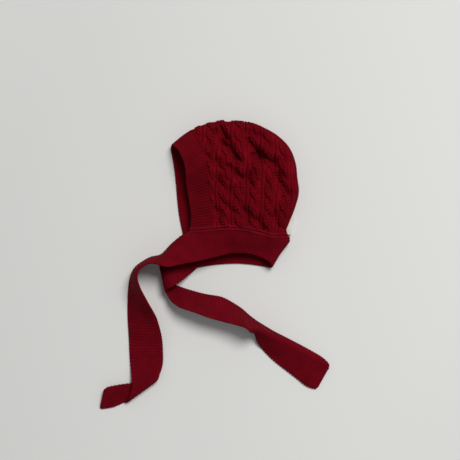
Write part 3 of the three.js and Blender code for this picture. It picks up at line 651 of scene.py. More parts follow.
def band_sections(side):
    flat_at = neck_band_patch(side)
    share = np.linspace(0, 1, BAND_STEPS + 1)
    up = 1 - np.linspace(0, 1, ACROSS_STEPS + 1)
    uu, vv = np.meshgrid(share, up, indexing="ij")
    flat = flat_at(uu, vv).reshape(-1, 2)
    heading = np.tile(np.array([[0.0, 1.0]]), (len(flat), 1))
    point, normal, _ = surface_frame(side, flat, heading)
    inside, outward, _ = inside_fold(flat)
    on_fold = np.abs(inside) < 1e-6
    normal[on_fold] = np.column_stack([outward[on_fold], np.zeros(on_fold.sum())])
    middle = point - normal * STRAP_WALL / 2
    return list(middle.reshape(BAND_STEPS + 1, ACROSS_STEPS + 1, 3))


def strip_middle():
    near, far = band_sections("near"), band_sections("far")
    near_tie = tie_sections(NEAR_TIE, -1, NEAR_TIE_REACH, NEAR_TIE_DROP, row_of_section(near[0]))
    far_tie = tie_sections(FAR_TIE, 1, FAR_TIE_REACH, FAR_TIE_DROP, row_of_section(far[0]))
    return np.array([*near_tie[::-1], *near, *far[::-1][1:], *far_tie])


def spread_sections(middle, pitch, across):
    """The strip's sections at even steps of its length, with finer points across."""
    count = len(middle)
    places = np.linspace(0, count - 1, (count - 1) * FINER + 1)
    columns = [catmull_points(middle[:, k], places) for k in range(middle.shape[1])]
    fine = np.stack(columns, axis=1)
    along = lengths_along(fine[:, fine.shape[1] // 2])
    steps = int(along[-1] / pitch)
    where = np.linspace(0, along[-1], steps + 1)
    rows = np.empty((steps + 1, fine.shape[1], 3))
    for k in range(fine.shape[1]):
        for c in range(3):
            rows[:, k, c] = np.interp(where, along, fine[:, k, c])
    w = np.linspace(0, ACROSS_STEPS, across + 1)
    i = np.clip(np.floor(w).astype(int), 0, ACROSS_STEPS - 1)
    before, after = 2 * rows[:, :1] - rows[:, 1:2], 2 * rows[:, -1:] - rows[:, -2:-1]
    padded = np.concatenate([before, rows, after], axis=1)
    t = (w - i)[None, :, None]
    grid = through(padded[:, i], padded[:, i + 1], padded[:, i + 2], padded[:, i + 3], t)
    return grid, where


def rounded_ends(points, along):
    """Sections made narrower near both ends of the strip, so that its corners are round."""
    made = points.copy()
    share = np.linspace(0, 1, points.shape[1])
    from_end = np.minimum(along, along[-1] - along)
    for i in np.flatnonzero(from_end < END_ROUND):
        inset = END_ROUND - math.sqrt(END_ROUND**2 - (END_ROUND - from_end[i]) ** 2)
        inset /= STRAP_WIDTH
        for axis in range(3):
            made[i, :, axis] = np.interp(mix(inset, 1 - inset, share), share, points[i, :, axis])
    return made


# Materials


def feed(tree, node, inputs):
    """Give each named input of a node its value, or link it to the socket that is given."""
    for name, value in inputs.items():
        if isinstance(value, bpy.types.NodeSocket):
            tree.links.new(value, node.inputs[name])
        else:
            node.inputs[name].default_value = value


def add(tree, kind, inputs=None, **settings):
    node = tree.nodes.new(kind)
    for name, value in settings.items():
        setattr(node, name, value)
    feed(tree, node, inputs or {})
    return node


def reckon(tree, operation, *values):
    """The result of one math node."""
    return add(tree, "ShaderNodeMath", dict(enumerate(values)), operation=operation).outputs[0]


def noise(tree, place, scale, detail, roughness=0.5):
    inputs = {"Vector": place, "Scale": scale, "Detail": detail, "Roughness": roughness}
    return add(tree, "ShaderNodeTexNoise", inputs).outputs["Fac"]


def shades(tree, share, color, dark, light, ends=(0, 1)):
    """Colours from a darker to a lighter tone of one colour."""
    ramp = add(tree, "ShaderNodeValToRGB", {"Fac": share})
    for element, end, tone in zip(ramp.color_ramp.elements, ends, (dark, light)):
        element.position = end
        element.color = (*[min(1, c * tone) for c in color[:3]], 1)
    return ramp.outputs["Color"]


def raised(tree, height, strength, distance, under=None):
    """Surface direction over a relief, on top of another relief where one is given."""
    inputs = {"Height": height, "Strength": strength, "Distance": distance}
    if under is not None:
        inputs["Normal"] = under
    return add(tree, "ShaderNodeBump", inputs).outputs["Normal"]


def new_finish(name):
    """A new material, its tree and the piece's own coordinates in metres."""
    material = bpy.data.materials.new(name)
    material.use_nodes = True
    tree = material.node_tree
    return material, tree, add(tree, "ShaderNodeTexCoord").outputs["Object"]


def knitted_vs(tree):
    """Height of slanting waves that meet as Vs, one V to each unit of the piece's map."""
    uv = add(tree, "ShaderNodeUVMap", uv_map="UVMap").outputs["UV"]
    split = add(tree, "ShaderNodeSeparateXYZ", {0: uv})
    across = reckon(tree, "PINGPONG", split.outputs["X"], 0.5)
    lean = reckon(tree, "MULTIPLY_ADD", across, 0.9, split.outputs["Y"])
    return reckon(tree, "SINE", reckon(tree, "MULTIPLY", lean, 2 * math.pi))


def wool(name, color, sheen, knit):
    """Wool yarn: mottled red, soft fibre relief, and knitted Vs of a strength on the map."""
    material, tree, place = new_finish(name)
    cloudy = noise(tree, place, 70, 3)
    fibre = noise(tree, place, 1400, 4, 0.7)
    both = reckon(tree, "MULTIPLY_ADD", cloudy, 0.5, reckon(tree, "MULTIPLY", fibre, 0.5))
    normal = raised(tree, fibre, 0.5, 0.0004)
    if knit:
        normal = raised(tree, knitted_vs(tree), knit, 0.0005, normal)
    feed(tree, tree.nodes["Principled BSDF"], {
        "Base Color": shades(tree, both, color, 0.6, 1.35, (0.25, 0.75)),
        "Normal": normal,
        "Roughness": 0.88,
        "Specular IOR Level": 0.05,
        "Sheen Weight": sheen,
        "Sheen Roughness": 0.45,
        "Sheen Tint": (0.75, 0.12, 0.14, 1),
    })
    return material


def tape(name, color):
    """Woven white tape with fine crossing threads."""
    material, tree, place = new_finish(name)
    waves = []
    for direction in ("X", "Y"):
        inputs = {"Vector": place, "Scale": 620, "Distortion": 0.6}
        wave = add(tree, "ShaderNodeTexWave", inputs, bands_direction=direction)
        waves.append(wave.outputs["Fac"])
    threads = reckon(tree, "MULTIPLY", *waves)
    feed(tree, tree.nodes["Principled BSDF"], {
        "Base Color": shades(tree, threads, color, 0.82, 1),
        "Normal": raised(tree, threads, 0.5, 0.0002),
        "Roughness": 0.75,
        "Sheen Weight": 0.1,
    })
    return material


def paper(name, color):
    """Plain pale surface with a faint unevenness, and a painted light falloff that makes it a
    little lighter to one side.
    """
    material, tree, place = new_finish(name)
    # Painted light falloff: the floor's colour runs from darker to lighter across it, standing in
    # for light that falls off from the lamp.
    slope = add(tree, "ShaderNodeVectorMath", {0: place, 1: (1, -0.6, 0)}, operation="DOT_PRODUCT")
    inputs = {"Value": slope.outputs["Value"], "From Min": -0.3, "From Max": 0.3}
    across = add(tree, "ShaderNodeMapRange", inputs).outputs["Result"]
    feed(tree, tree.nodes["Principled BSDF"], {
        "Base Color": shades(tree, across, color, 0.93, 1.05),
        "Normal": raised(tree, noise(tree, place, 260, 3), 0.08, 0.0004),
        "Roughness": 0.9,
        "Specular IOR Level": 0.1,
    })
    return material


# Stitches, set on points by a node tree


def stitch_tree(name):
    """A V of two yarn legs on every point, turned and sized by the point's own attributes."""
    tree = bpy.data.node_groups.new(name, "GeometryNodeTree")

    def socket(label, kind, way="INPUT"):
        return tree.interface.new_socket(label, in_out=way, socket_type="NodeSocket" + kind)

    socket("Geometry", "Geometry")
    for label, value in (
        ("Leg Width", 0.56), ("Leg Length", 1.5), ("Leg Height", 0.62), ("Lean", 24.0),
        ("Spread", 0.25), ("Variation", 0.07),
    ):
        socket(label, "Float").default_value = value
    socket("Seed", "Int")
    socket("Finish", "Material")
    socket("Geometry", "Geometry", "OUTPUT")
    given = add(tree, "NodeGroupInput").outputs
    ball = add(tree, "GeometryNodeMeshUVSphere", {"Segments": 6, "Rings": 4, "Radius": 0.5})
    upright = add(tree, "GeometryNodeTransform",
                  {"Geometry": ball.outputs["Mesh"], "Rotation": (math.pi / 2, 0, 0)})
    shape = add(tree, "ShaderNodeCombineXYZ",
                {"X": given["Leg Width"], "Y": given["Leg Length"], "Z": given["Leg Height"]})
    leg = add(tree, "GeometryNodeTransform",
              {"Geometry": upright.outputs[0], "Scale": shape.outputs[0]})
    both = add(tree, "GeometryNodeJoinGeometry")
    for way in (-1, 1):
        angle = reckon(tree, "MULTIPLY", given["Lean"], -way * math.pi / 180)
        turned = add(tree, "ShaderNodeCombineXYZ", {"X": -0.2, "Z": angle})
        away = reckon(tree, "MULTIPLY", given["Spread"], way)
        moved = add(tree, "ShaderNodeCombineXYZ", {"X": away})
        side = add(tree, "GeometryNodeTransform", {
            "Geometry": leg.outputs[0],
            "Translation": moved.outputs[0],
            "Rotation": turned.outputs[0],
        })
        tree.links.new(side.outputs[0], both.inputs[0])
    turn = add(tree, "GeometryNodeInputNamedAttribute", {"Name": "turn"}, data_type="QUATERNION")
    size = add(tree, "GeometryNodeInputNamedAttribute", {"Name": "size"}, data_type="FLOAT_VECTOR")
    least = reckon(tree, "SUBTRACT", 1, given["Variation"])
    most = reckon(tree, "ADD", 1, given["Variation"])
    chance = add(tree, "FunctionNodeRandomValue", data_type="FLOAT_VECTOR")
    feed(tree, chance, {0: least, 1: most, "Seed": given["Seed"]})
    scale = add(tree, "ShaderNodeVectorMath", {0: size.outputs[0], 1: chance.outputs[0]},
                operation="MULTIPLY")
    place = add(tree, "GeometryNodeInstanceOnPoints", {
        "Points": given["Geometry"],
        "Instance": both.outputs[0],
        "Rotation": turn.outputs[0],
        "Scale": scale.outputs[0],
    })
    real = add(tree, "GeometryNodeRealizeInstances", {0: place.outputs[0]})
    soft = add(tree, "GeometryNodeSetShadeSmooth", {"Geometry": real.outputs[0]})
    finish = add(tree, "GeometryNodeSetMaterial",
                 {"Geometry": soft.outputs[0], "Material": given["Finish"]})
    add(tree, "NodeGroupOutput", {"Geometry": finish.outputs[0]})
    return tree


def stitched(name, stitches, material, seed, **shape):
    """Stitches at their places, from normals, directions and sizes, as one plain mesh."""
    points, normals, alongs, sizes = merged(stitches)
    tree = bpy.data.node_groups.get("knit_stitches") or stitch_tree("knit_stitches")
    mesh = bpy.data.meshes.new(name + "_points")
    mesh.from_pydata(in_metres(points), [], [])
    turns = np.empty((len(points), 4), dtype=np.float32)
    for i, axes in enumerate(zip(np.cross(alongs, normals), alongs, normals)):
        turns[i] = Matrix(axes).transposed().to_quaternion()
    mesh.attributes.new("turn", "QUATERNION", "POINT").data.foreach_set("value", turns.ravel())
    size = mesh.attributes.new("size", "FLOAT_VECTOR", "POINT")
    size.data.foreach_set("vector", (sizes / 1000).astype(np.float32).ravel())
    holder = bpy.data.objects.new(name + "_points", mesh)
    bpy.context.scene.collection.objects.link(holder)
    modifier = holder.modifiers.new("stitches", "NODES")
    modifier.node_group = tree
    given = {"Seed": seed, "Finish": material, **shape}
    for socket in tree.interface.items_tree:
        if socket.item_type == "SOCKET" and socket.in_out == "INPUT" and socket.name in given:
            modifier[socket.identifier] = given[socket.name]
    ready = holder.evaluated_get(bpy.context.evaluated_depsgraph_get())
    made = bpy.data.meshes.new_from_object(ready)
    made.name = name
    bpy.data.objects.remove(holder)
    bpy.data.meshes.remove(mesh)
    return placed_piece(name, made)


def merged(blocks):
    """Blocks of like arrays, joined one after the other."""
    return [np.concatenate(parts) for parts in zip(*blocks)]


def within(polygon, points):
    """Which points lie inside a closed polygon."""
    inside = np.zeros(len(points), dtype=bool)
    x, y = points[:, 0], points[:, 1]
    for (ax, ay), (bx, by) in zip(polygon, np.roll(polygon, -1, axis=0)):
        crosses = (ay > y) != (by > y)
        if by != ay:
            inside ^= crosses & (x < (bx - ax) * (y - ay) / (by - ay) + ax)
    return inside


def outline(flat_at):
    """Points round a flat patch."""
    t = np.linspace(0, 1, OUTLINE_POINTS)
    zero, one = np.zeros_like(t), np.ones_like(t)
    back = t[::-1]
    return np.concatenate(
        [flat_at(t, zero), flat_at(one, t), flat_at(back, one), flat_at(zero, back)]
    )


# Settings of the pieces


def length(name, description, size, least, most):
    """A length property in metres, from sizes in millimetres."""
    return bpy.props.FloatProperty(
        name=name, description=description, default=size / 1000, min=least / 1000,
        max=most / 1000, precision=4, unit="LENGTH")


def shade(name, description, color):
    return bpy.props.FloatVectorProperty(
        name=name, description=description, subtype="COLOR", size=3, default=color, min=0, max=1)


class BonnetKnit(bpy.types.PropertyGroup):
    row_height: length("Row height", "Height of a knitted row on the crown", 2.9, 1, 6)
    wale_width: length("Wale width", "Width of a column of stitches on the crown", 2.6, 1, 6)
    cable_turn: length("Cable turn", "Length of cable between two crossings", 16, 6, 40)
    cable_lift: length("Cable lift", "How far the upper strand stands out", 2, 0, 4)
    rib_pitch: length("Rib pitch", "Distance between two ribs of the face band", 3.2, 1, 8)
    rib_depth: length("Rib depth", "Depth between the ribs of the face band", 0.9, 0, 2)
    strap_pitch: length("Tie rib pitch", "Distance between two ribs of the ties", 3.4, 1, 8)
    strap_depth: length("Tie rib depth", "Depth between the ribs of the ties", 0.5, 0, 2)
    chain_pitch: length("Chain pitch", "Length of a stitch in the seams", 3, 1, 8)


class BonnetLooks(bpy.types.PropertyGroup):
    crown_color: shade("Crown", "Wool of the crown", (0.18, 0.0016, 0.0075))
    band_color: shade("Face band", "Wool of the face band", (0.142, 0.0015, 0.0065))
    strap_color: shade("Ties", "Wool of the neck band and ties", (0.142, 0.0015, 0.0072))
    # The neck seam's colour is lighter and pinker than the crown's wool: a painted highlight along
    # the raised seam.
    seam_painted_highlight_color: shade("Seam", "Yarn of the neck seam", (0.22, 0.005, 0.016))
    label_color: shade("Label", "Tape of the label", (0.93, 0.92, 0.84))
    floor_color: shade("Floor", "Surface that the bonnet lies on", (0.785, 0.785, 0.775))
    sheen: bpy.props.FloatProperty(
        name="Sheen", description="Soft shine of the wool's fibres", default=0.02, min=0, max=1,
        subtype="FACTOR")
    key_power: bpy.props.FloatProperty(
        name="Key light", description="Power of the large soft light, watts", default=118, min=0)
    sky_strength: bpy.props.FloatProperty(
        name="Room light", description="Strength of the even light of the room", default=0.26,
        min=0)


def knit_sizes(context):
    """The knit's settings in millimetres."""
    group = context.scene.bonnet_knit
    names = group.__annotations__
    return SimpleNamespace(**{name: round(getattr(group, name) * 1000, 4) for name in names})


# Operators


class BONNET_OT_stage(bpy.types.Operator):
    """Lay the pale floor and set the camera and the soft light"""

    bl_idname = "bonnet.stage"
    bl_label = "Stage, Light and Camera"

    floor_reach = 3.0  # from the middle to each side, metres
    key_place = (1.12, 1.76, 3.42)
    key_size = 1.8
    key_color = (1.0, 0.985, 0.96)
    room_color = (0.95, 0.98, 1.0, 1)
    eye_place = (0.0172, 0.0402, 1.5)
    lens = 102  # millimetres, on a sensor 36 wide

    def execute(self, context):
        looks = context.scene.bonnet_looks
        work = bmesh.new()
        bmesh.ops.create_grid(work, x_segments=24, y_segments=24, size=self.floor_reach)
        mesh = bpy.data.meshes.new("floor")
        work.to_mesh(mesh)
        work.free()
        mesh.materials.append(paper("pale_paper", looks.floor_color))
        placed_piece("floor", mesh)
        key = bpy.data.lights.new("key", "AREA")
        key.shape = "DISK"
        key.size = self.key_size
        key.energy = looks.key_power
        key.color = self.key_color
        lamp = placed_piece("key", key)
        lamp.location = self.key_place
        lamp.rotation_euler = (-lamp.location).to_track_quat("-Z", "Y").to_euler()
        world = context.scene.world or bpy.data.worlds.new("room")
        context.scene.world = world
        world.use_nodes = True
        room = {"Color": self.room_color, "Strength": looks.sky_strength}
        feed(world.node_tree, world.node_tree.nodes["Background"], room)
        context.scene.view_settings.view_transform = "Standard"
        camera = bpy.data.cameras.new("camera")
        camera.sensor_width = 36
        camera.lens = self.lens
        camera.clip_end = 20
        eye = placed_piece("camera", camera)
        eye.location = self.eye_place
        context.scene.camera = eye
        return {"FINISHED"}


class BONNET_OT_crown(bpy.types.Operator):
    """Make the crown's shell and the knitted stitches and cables on it"""

    bl_idname = "bonnet.crown"
    bl_label = "Crown"

    grid = (150, 110)  # steps of the shell from face to back and from seam to fold
    # Heights over the solid's plain surface, millimetres.
    gutter = -1.6  # the shell between wales and cables
    level = 0.2  # stitches of a wale and of the border
    sunk = 0.5  # the shell under any stitch, below the stitch's middle
    # Widths in the flat cloth, millimetres.
    calm = 12  # strip along the fold over which the cables flatten out
    border_width = 7.5  # border of wales that follows the back fold
    border_first = 1.4  # from the back fold to the first of its wales
    seam_inset = 1.5  # how far the stitches keep from the crown's seams
    front = 48  # the crown's front part, where the stitches keep further inside the fold
    front_inset = 3.2  # least distance inside the fold there
    back_inset = 0.8  # and elsewhere
    fold_strip = 4  # strip along the fold in which the seam inset doesn't count,
    seam_strip = 14  # but for the part this near to the face seam
    sways = ((0.9, 15, 23), (0.5, 6.1, 9))  # width of a sideways wave, pace up and pace back
    columns = range(-3, 6)  # places of the wales, counted from the first ridge
    overhang = 20  # how far columns of stitches start and end outside the crown
    wale_share = 0.85  # width of a lone wale's stitches, as a share of the wale
    swing_wide = 1.2  # swing of a strand to each side, in wales
    swing_sharp = 0.6  # below 1, strands stay at the side and cross quickly
    rise_sharp = 0.8  # below 1, the upper strand's back is broad
    steepest = 1.2  # slope of a strand's stitches at most
    # The shell rises over these widths at the edges of what it follows, millimetres.
    wale_edge = 1.6
    strand_edge = 1.2
    strand_half = 0.95  # half the width of a raised strand, in wales
    border_edge = 1.5
    border_start = 3
    knit_relief = 0.5  # strength of the fine Vs on the shell

    def execute(self, context):
        knit = knit_sizes(context)
        looks = context.scene.bonnet_looks
        patches = {side: crown_patch(side) for side in SIDES}
        points, flat = folded_grid(patches, *self.grid)
        normals = grid_normals(points)
        middle = points.mean(axis=(0, 1))
        if np.sum((points[20, 50] - middle) * normals[20, 50]) < 0:
            normals = -normals
        height = self.ground(flat, knit)
        height[len(height) // 2:] = self.level - self.sunk
        outer = points + normals * height[..., None]
        inner = points - normals * CROWN_WALL
        for skin in (outer, inner):
            skin[:, -1] = (skin[:, -1] + skin[::-1, -1]) / 2
        uv = np.concatenate([flat.reshape(-1, 2) / (knit.wale_width, knit.row_height)] * 2)
        verts, quads = shell(outer, inner, {"left": [], "first": [], "last": []})
        finish = wool("crown_wool", looks.crown_color, looks.sheen, self.knit_relief)
        crown = mesh_object("crown_shell", verts, quads, uv, finish)
        dressed(crown, "crown_knit", "crown")
        yarn = wool("crown_yarn", looks.crown_color, looks.sheen, 0)
        knitted = stitched("crown_stitches", self.stitches(knit, patches), yarn, seed=3)
        dressed(knitted, "crown_knit")
        return {"FINISHED"}

    def stitches(self, knit, patches):
        """Blocks of stitches of the upper side and the rolled fold."""
        made = []
        for k in self.columns:
            x = FACE_BAND_WIDTH + CABLE_START + k * CABLE_SPACING
            made += self.wale(x, knit)
            made += self.cable(x + CABLE_SPACING / 2, knit)
        flat, heading, lift, size = (np.array(values) for values in zip(*made))
        flat[:, 0] += self.sway(flat[:, 0], flat[:, 1])
        inside, _, along = inside_fold(flat)
        in_front = flat[:, 0] < self.front
        kept = (inside > self.border_width) | (along <= BACK_FROM)
        kept &= inside > np.where(in_front, self.front_inset, self.back_inset)
        by_fold = (inside < self.fold_strip) & (flat[:, 0] > self.seam_strip)
        blocks = []
        for side in SIDES:
            edge = outline(patches[side])
            keep = kept & within(edge, flat)
            for shift in ((self.seam_inset, 0), (0, self.seam_inset)):
                keep &= by_fold | within(edge, flat - shift)
            if side == "far":
                keep &= inside < FAR_REACH
                calmed = np.full(keep.sum(), self.level)
            else:
                calmed = mix(self.level, lift[keep], smooth(inside[keep] / self.calm))
            blocks.append(self.placed(side, flat[keep], heading[keep], calmed, size[keep]))
            blocks.append(self.border(side, knit))
        return blocks

    def sway(self, x, y):
        """How far the columns of stitches wander sideways."""
        return sum(wide * np.sin(y / up + x / back) for wide, up, back in self.sways)

    def strand(self, way, y, knit):
        """Sideways swing and height of one strand of a cable at y."""
        angle = math.pi * y / knit.cable_turn
        side, over = np.cos(angle), way * np.sin(angle)
        swing = way * np.sign(side) * np.abs(side) ** self.swing_sharp
        swing = swing * knit.wale_width * self.swing_wide
        rise = knit.cable_lift * np.maximum(over, 0) ** self.rise_sharp
        return swing, self.level + rise + np.minimum(over, 0)

    def ground(self, flat, knit):
        """Height of the shell: raised under wales and strands, low in the gutters between."""
        x, y = flat[..., 0], flat[..., 1]
        spot = (x - self.sway(x, y) - FACE_BAND_WIDTH - CABLE_START) / CABLE_SPACING
        from_wale = np.abs(spot - np.round(spot)) * CABLE_SPACING
        from_cable = (spot - np.floor(spot) - 0.5) * CABLE_SPACING
        wide = knit.wale_width
        on_wale = smooth((wide / 2 - from_wale) / self.wale_edge + 0.5)
        height = mix(self.gutter, self.level - self.sunk, on_wale)
        for way in (1, -1):
            swing, lift = self.strand(way, y, knit)
            away = np.abs(from_cable - swing)
            on_strand = smooth((wide * self.strand_half - away) / self.strand_edge + 0.5)
            height = np.maximum(height, mix(self.gutter, lift - self.sunk, on_strand))
        inside, _, along = inside_fold(flat.reshape(-1, 2))
        border = smooth((self.border_width - inside) / self.border_edge + 0.5)
        border *= smooth((along - BACK_FROM) / self.border_start)
        plain = np.maximum(border, 1 - smooth(inside / self.calm)).reshape(height.shape)
        return mix(height, self.level - self.sunk, plain)

    def placed(self, side, flat, heading, lift, size):
        """A block of stitches at their heights over the surface."""
        point, normal, along = surface_frame(side, flat, heading)
        return point + normal * lift[:, None], normal, along, size

    def wale(self, x, knit):
        """One straight column of stitches."""
        wide = self.wale_share * knit.wale_width
        size = (wide, knit.row_height, wide)
        return [((x, y), (0.0, 1.0), self.level, size) for y in self.rows(knit)]

    def rows(self, knit):
        """Places of the stitches up a column."""
        return np.arange(-self.overhang, HOOD_HEIGHT + self.overhang, knit.row_height)

    def cable(self, x, knit):
        """Two strands of two wales each, which cross over and under."""
        made = []
        wide = knit.wale_width
        step = 0.1
        for way in (1, -1):
            for y in self.rows(knit):
                swing, lift = self.strand(way, y, knit)
                ahead, _ = self.strand(way, y + step, knit)
                before, _ = self.strand(way, y - step, knit)
                slope = np.clip((ahead - before) / (2 * step), -self.steepest, self.steepest)
                heading = unit(np.array([slope, 1.0]))
                for half in (-0.5, 0.5):
                    across = half * wide * np.array([heading[1], -heading[0]])
                    place = np.array([x + swing, y]) + across
                    made.append((place, heading, lift, (wide, knit.row_height, wide)))
        return made

    def border(self, side, knit):
        """Two wales that follow the back fold."""
        wide = knit.wale_width
        lengths = np.arange(BACK_FROM, NAPE_LENGTH - 3, knit.row_height)
        heading = unit(fold_at(lengths + 0.5) - fold_at(lengths - 0.5))
        inward = np.stack([heading[:, 1], -heading[:, 0]], axis=1)
        lanes = [fold_at(lengths) + inward * (self.border_first + k * wide) for k in range(2)]
        flat = np.concatenate(lanes)
        heading = np.concatenate([heading, heading])
        if side == "far":
            keep = inside_fold(flat)[0] < FAR_REACH
            flat, heading = flat[keep], heading[keep]
        size = np.tile([wide, knit.row_height, wide], (len(flat), 1))
        return self.placed(side, flat, heading, np.full(len(flat), self.level), size)


def rib_wave(phase, sharp=0.7):
    """Ribs: rounded tops with narrow valleys, from -1 to 1."""
    wave = np.cos(phase)
    return np.sign(wave) * np.abs(wave) ** sharp


def band_map(across, along, pitch):
    """Map of a band's grid: one unit to each rib and to each knitted row."""
    return np.stack(np.meshgrid(across / BAND_ROW, along / pitch), axis=-1).reshape(-1, 2)[:, ::-1]


class BONNET_OT_face_band(bpy.types.Operator):
    """Make the ribbed face band"""

    bl_idname = "bonnet.face_band"
    bl_label = "Face Band"

    grid = (26, 240)  # steps from the free edge to the seam and along each side
    bead = 0.06  # swell of a knitted row, as a share of the ribs' half depth
    edge_round = 0.35  # bulge of the free edge, as a share of the wall
    knit_relief = 0.22  # strength of the fine Vs

    def execute(self, context):
        knit = knit_sizes(context)
        looks = context.scene.bonnet_looks
        patches = {side: face_band_patch(side) for side in SIDES}
        points, _ = folded_grid(patches, *self.grid)
        normals = grid_normals(points)
        if normals[60, 13, 2] < 0:
            normals = -normals
        along = lengths_along(points[:, self.grid[0] // 2])
        across = np.linspace(0, FACE_BAND_WIDTH, points.shape[1])
        rib = rib_wave(2 * math.pi * along / knit.rib_pitch)[:, None]
        bead = self.bead * np.cos(2 * math.pi * across / BAND_ROW)[None]
        deep = knit.rib_depth / 2
        outer = points + normals * (deep * (rib - RIB_SINK + bead))[..., None]
        under = FACE_BAND_WALL + deep * (-rib - RIB_SINK + bead)
        inner = points - normals * under[..., None]
        outwards = unit(points[:, 0] - points[:, 1])
        rim = round_rim(outer[:, 0], inner[:, 0], outwards, FACE_BAND_WALL * self.edge_round)
        rims = {"left": rim, "right": [], "first": [], "last": []}
        verts, quads = shell(outer, inner, rims)
        uv = band_map(across, along, knit.rib_pitch)
        uv = np.concatenate([uv, uv, np.repeat(uv[::len(across)], 3, axis=0)])
        finish = wool("band_wool", looks.band_color, looks.sheen, self.knit_relief)
        band = mesh_object("face_band_knit", verts, quads, uv, finish)
        dressed(band, "band_knit", "face_band")
        return {"FINISHED"}


class BONNET_OT_strap(bpy.types.Operator):
    """Make the ribbed strip of the neck band and both ties"""

    bl_idname = "bonnet.strap"
    bl_label = "Neck Band and Ties"

    # Sizes in millimetres.
    section_step = 0.62
    steps_across = 30
    bead = 0.07  # swell of a knitted row, as a share of the ribs' half depth
    edge_ribs = 0.35  # share of the ribs' depth that is left at the edges
    edge_strip = 2.5  # width of the plain edge, and of the strip in which the ribs begin
    chain_place = 3.6  # from an edge to the chain of stitches beside it
    chain_width = 0.8
    chain_lift = 0.25
    chain_beads = 0.12
    edge_round = 0.75  # bulge of the edges, as a share of half the wall
    scallop = 0.35  # how much that bulge swells at each rib
    seam_edge = 0.05  # share of it that is left where the band is sewn on
    sunk = 0.12  # how far the whole knit lies under the solid's surface
    knit_relief = 0.3  # strength of the fine Vs

    def execute(self, context):
        knit = knit_sizes(context)
        looks = context.scene.bonnet_looks
        points, along = spread_sections(strip_middle(), self.section_step, self.steps_across)
        points = rounded_ends(points, along)
        normals = grid_normals(points)
        top = len(NEAR_TIE) * SECTION_STEPS + BAND_STEPS // 2
        here = int(len(along) * top / len(strip_middle()))
        if normals[here, 15, 2] < 0:
            normals = -normals
        across = np.linspace(0, STRAP_WIDTH, points.shape[1])
        phase = 2 * math.pi * along / knit.strap_pitch
        rib = rib_wave(phase)[:, None]
        edge = np.minimum(across, STRAP_WIDTH - across)[None]
        strip = smooth((edge - self.edge_strip) / self.edge_strip)
        fade = mix(self.edge_ribs, 1, strip)
        chain = np.exp(-(((edge - self.chain_place) / self.chain_width) ** 2))
        beads = 0.5 + 0.5 * np.cos(2 * phase)[:, None]
        chain = chain * (self.chain_lift + self.chain_beads * beads) - self.sunk
        bead = self.bead * np.cos(2 * math.pi * across / BAND_ROW)[None]
        deep = knit.strap_depth / 2
        half = STRAP_WALL / 2
        up = half + deep * ((rib - RIB_SINK) * fade + bead) + chain
        down = half + deep * ((-rib - RIB_SINK) * fade + bead) + chain
        outer = points + normals * up[..., None]
        inner = points - normals * down[..., None]
        seam_out = unit(points[:, 0] - points[:, 1])
        free_out = unit(points[:, -1] - points[:, -2])
        scallop = 1 + self.scallop * np.cos(phase)[:, None]
        sewn = np.where(self.on_band(len(along)), self.seam_edge, 1.0)[:, None]
        round_by = half * self.edge_round * scallop
        rims = {
            "left": round_rim(outer[:, 0], inner[:, 0], seam_out, sewn * round_by),
            "right": round_rim(outer[:, -1], inner[:, -1], free_out, round_by),
            "first": [],
            "last": [],
        }
        verts, quads = shell(outer, inner, rims)
        uv = band_map(across, along, knit.strap_pitch)
        left, right = uv[::len(across)], uv[len(across) - 1::len(across)]
        uv = np.concatenate([uv, uv, left, left, left, right, right, right])
        finish = wool("strap_wool", looks.strap_color, looks.sheen, self.knit_relief)
        strap = mesh_object("neck_band_and_ties_knit", verts, quads, uv, finish)
        dressed(strap, "strap_knit", "neck_band_and_ties")
        return {"FINISHED"}

    def on_band(self, count):
        """Which of the evenly spread sections lie on the hood's neck band."""
        along = lengths_along(strip_middle()[:, ACROSS_STEPS // 2])
        start = len(NEAR_TIE) * SECTION_STEPS
        where = np.linspace(0, along[-1], count)
        return (where > along[start]) & (where < along[start + 2 * BAND_STEPS])


class BONNET_OT_seam(bpy.types.Operator):
    """Make the chains of linking stitches along the neck seam and the face seam"""

    bl_idname = "bonnet.seam"
    bl_label = "Seams"

    # Sizes in millimetres. Each lane of a seam has its distance beside the seam, height over the
    # surface and the least distance from the fold.
    neck_lanes = ((-1.9, 0.6, 0.3), (1.2, 0.45, 0.3))
    neck_stitch = (2.1, 2.0)  # width and height
    neck_ends = 1.2
    neck_lean = 14.0  # degrees
    face_lanes = ((0.3, 0.05, 0.6),)
    face_stitch = (2.3, 2.0)
    face_ends = 3.5
    last_end = 0.8

    def execute(self, context):
        knit = knit_sizes(context)
        looks = context.scene.bonnet_looks
        neck = self.chains(neck_seam, self.neck_lanes, self.neck_stitch, self.neck_ends, knit)
        # Painted highlight: the neck seam's stitches take the lighter seam colour.
        yarn = wool("seam_yarn", looks.seam_painted_highlight_color, looks.sheen, 0)
        chain = stitched("neck_seam_chain", neck, yarn, seed=5, Lean=self.neck_lean)
        dressed(chain, "strap_knit")
        seams = {side: face_seam(side) for side in SIDES}
        face = self.chains(seams, self.face_lanes, self.face_stitch, self.face_ends, knit)
        yarn = wool("face_seam_yarn", looks.crown_color, looks.sheen, 0)
        chain = stitched("face_seam_chain", face, yarn, seed=9)
        dressed(chain, "crown_knit")
        return {"FINISHED"}

    def chains(self, seams, lanes, stitch, start, knit):
        """Blocks of stitches beside a seam on both sides of the hood."""
        blocks = []
        for side in SIDES:
            line = seams[side]
            share = np.arange(start, line.length - self.last_end, knit.chain_pitch) / line.length
            heading = line.direction(share)
            for distance, lift, least in lanes:
                flat = beside(line, share, distance)
                inside, _, _ = inside_fold(flat)
                keep = inside > least
                if side == "far":
                    keep &= inside < FAR_REACH
                point, normal, way = surface_frame(side, flat[keep], heading[keep])
                size = np.tile([stitch[0], knit.chain_pitch, stitch[1]], (len(point), 1))
                blocks.append((point + normal * lift, normal, way, size))
        return blocks


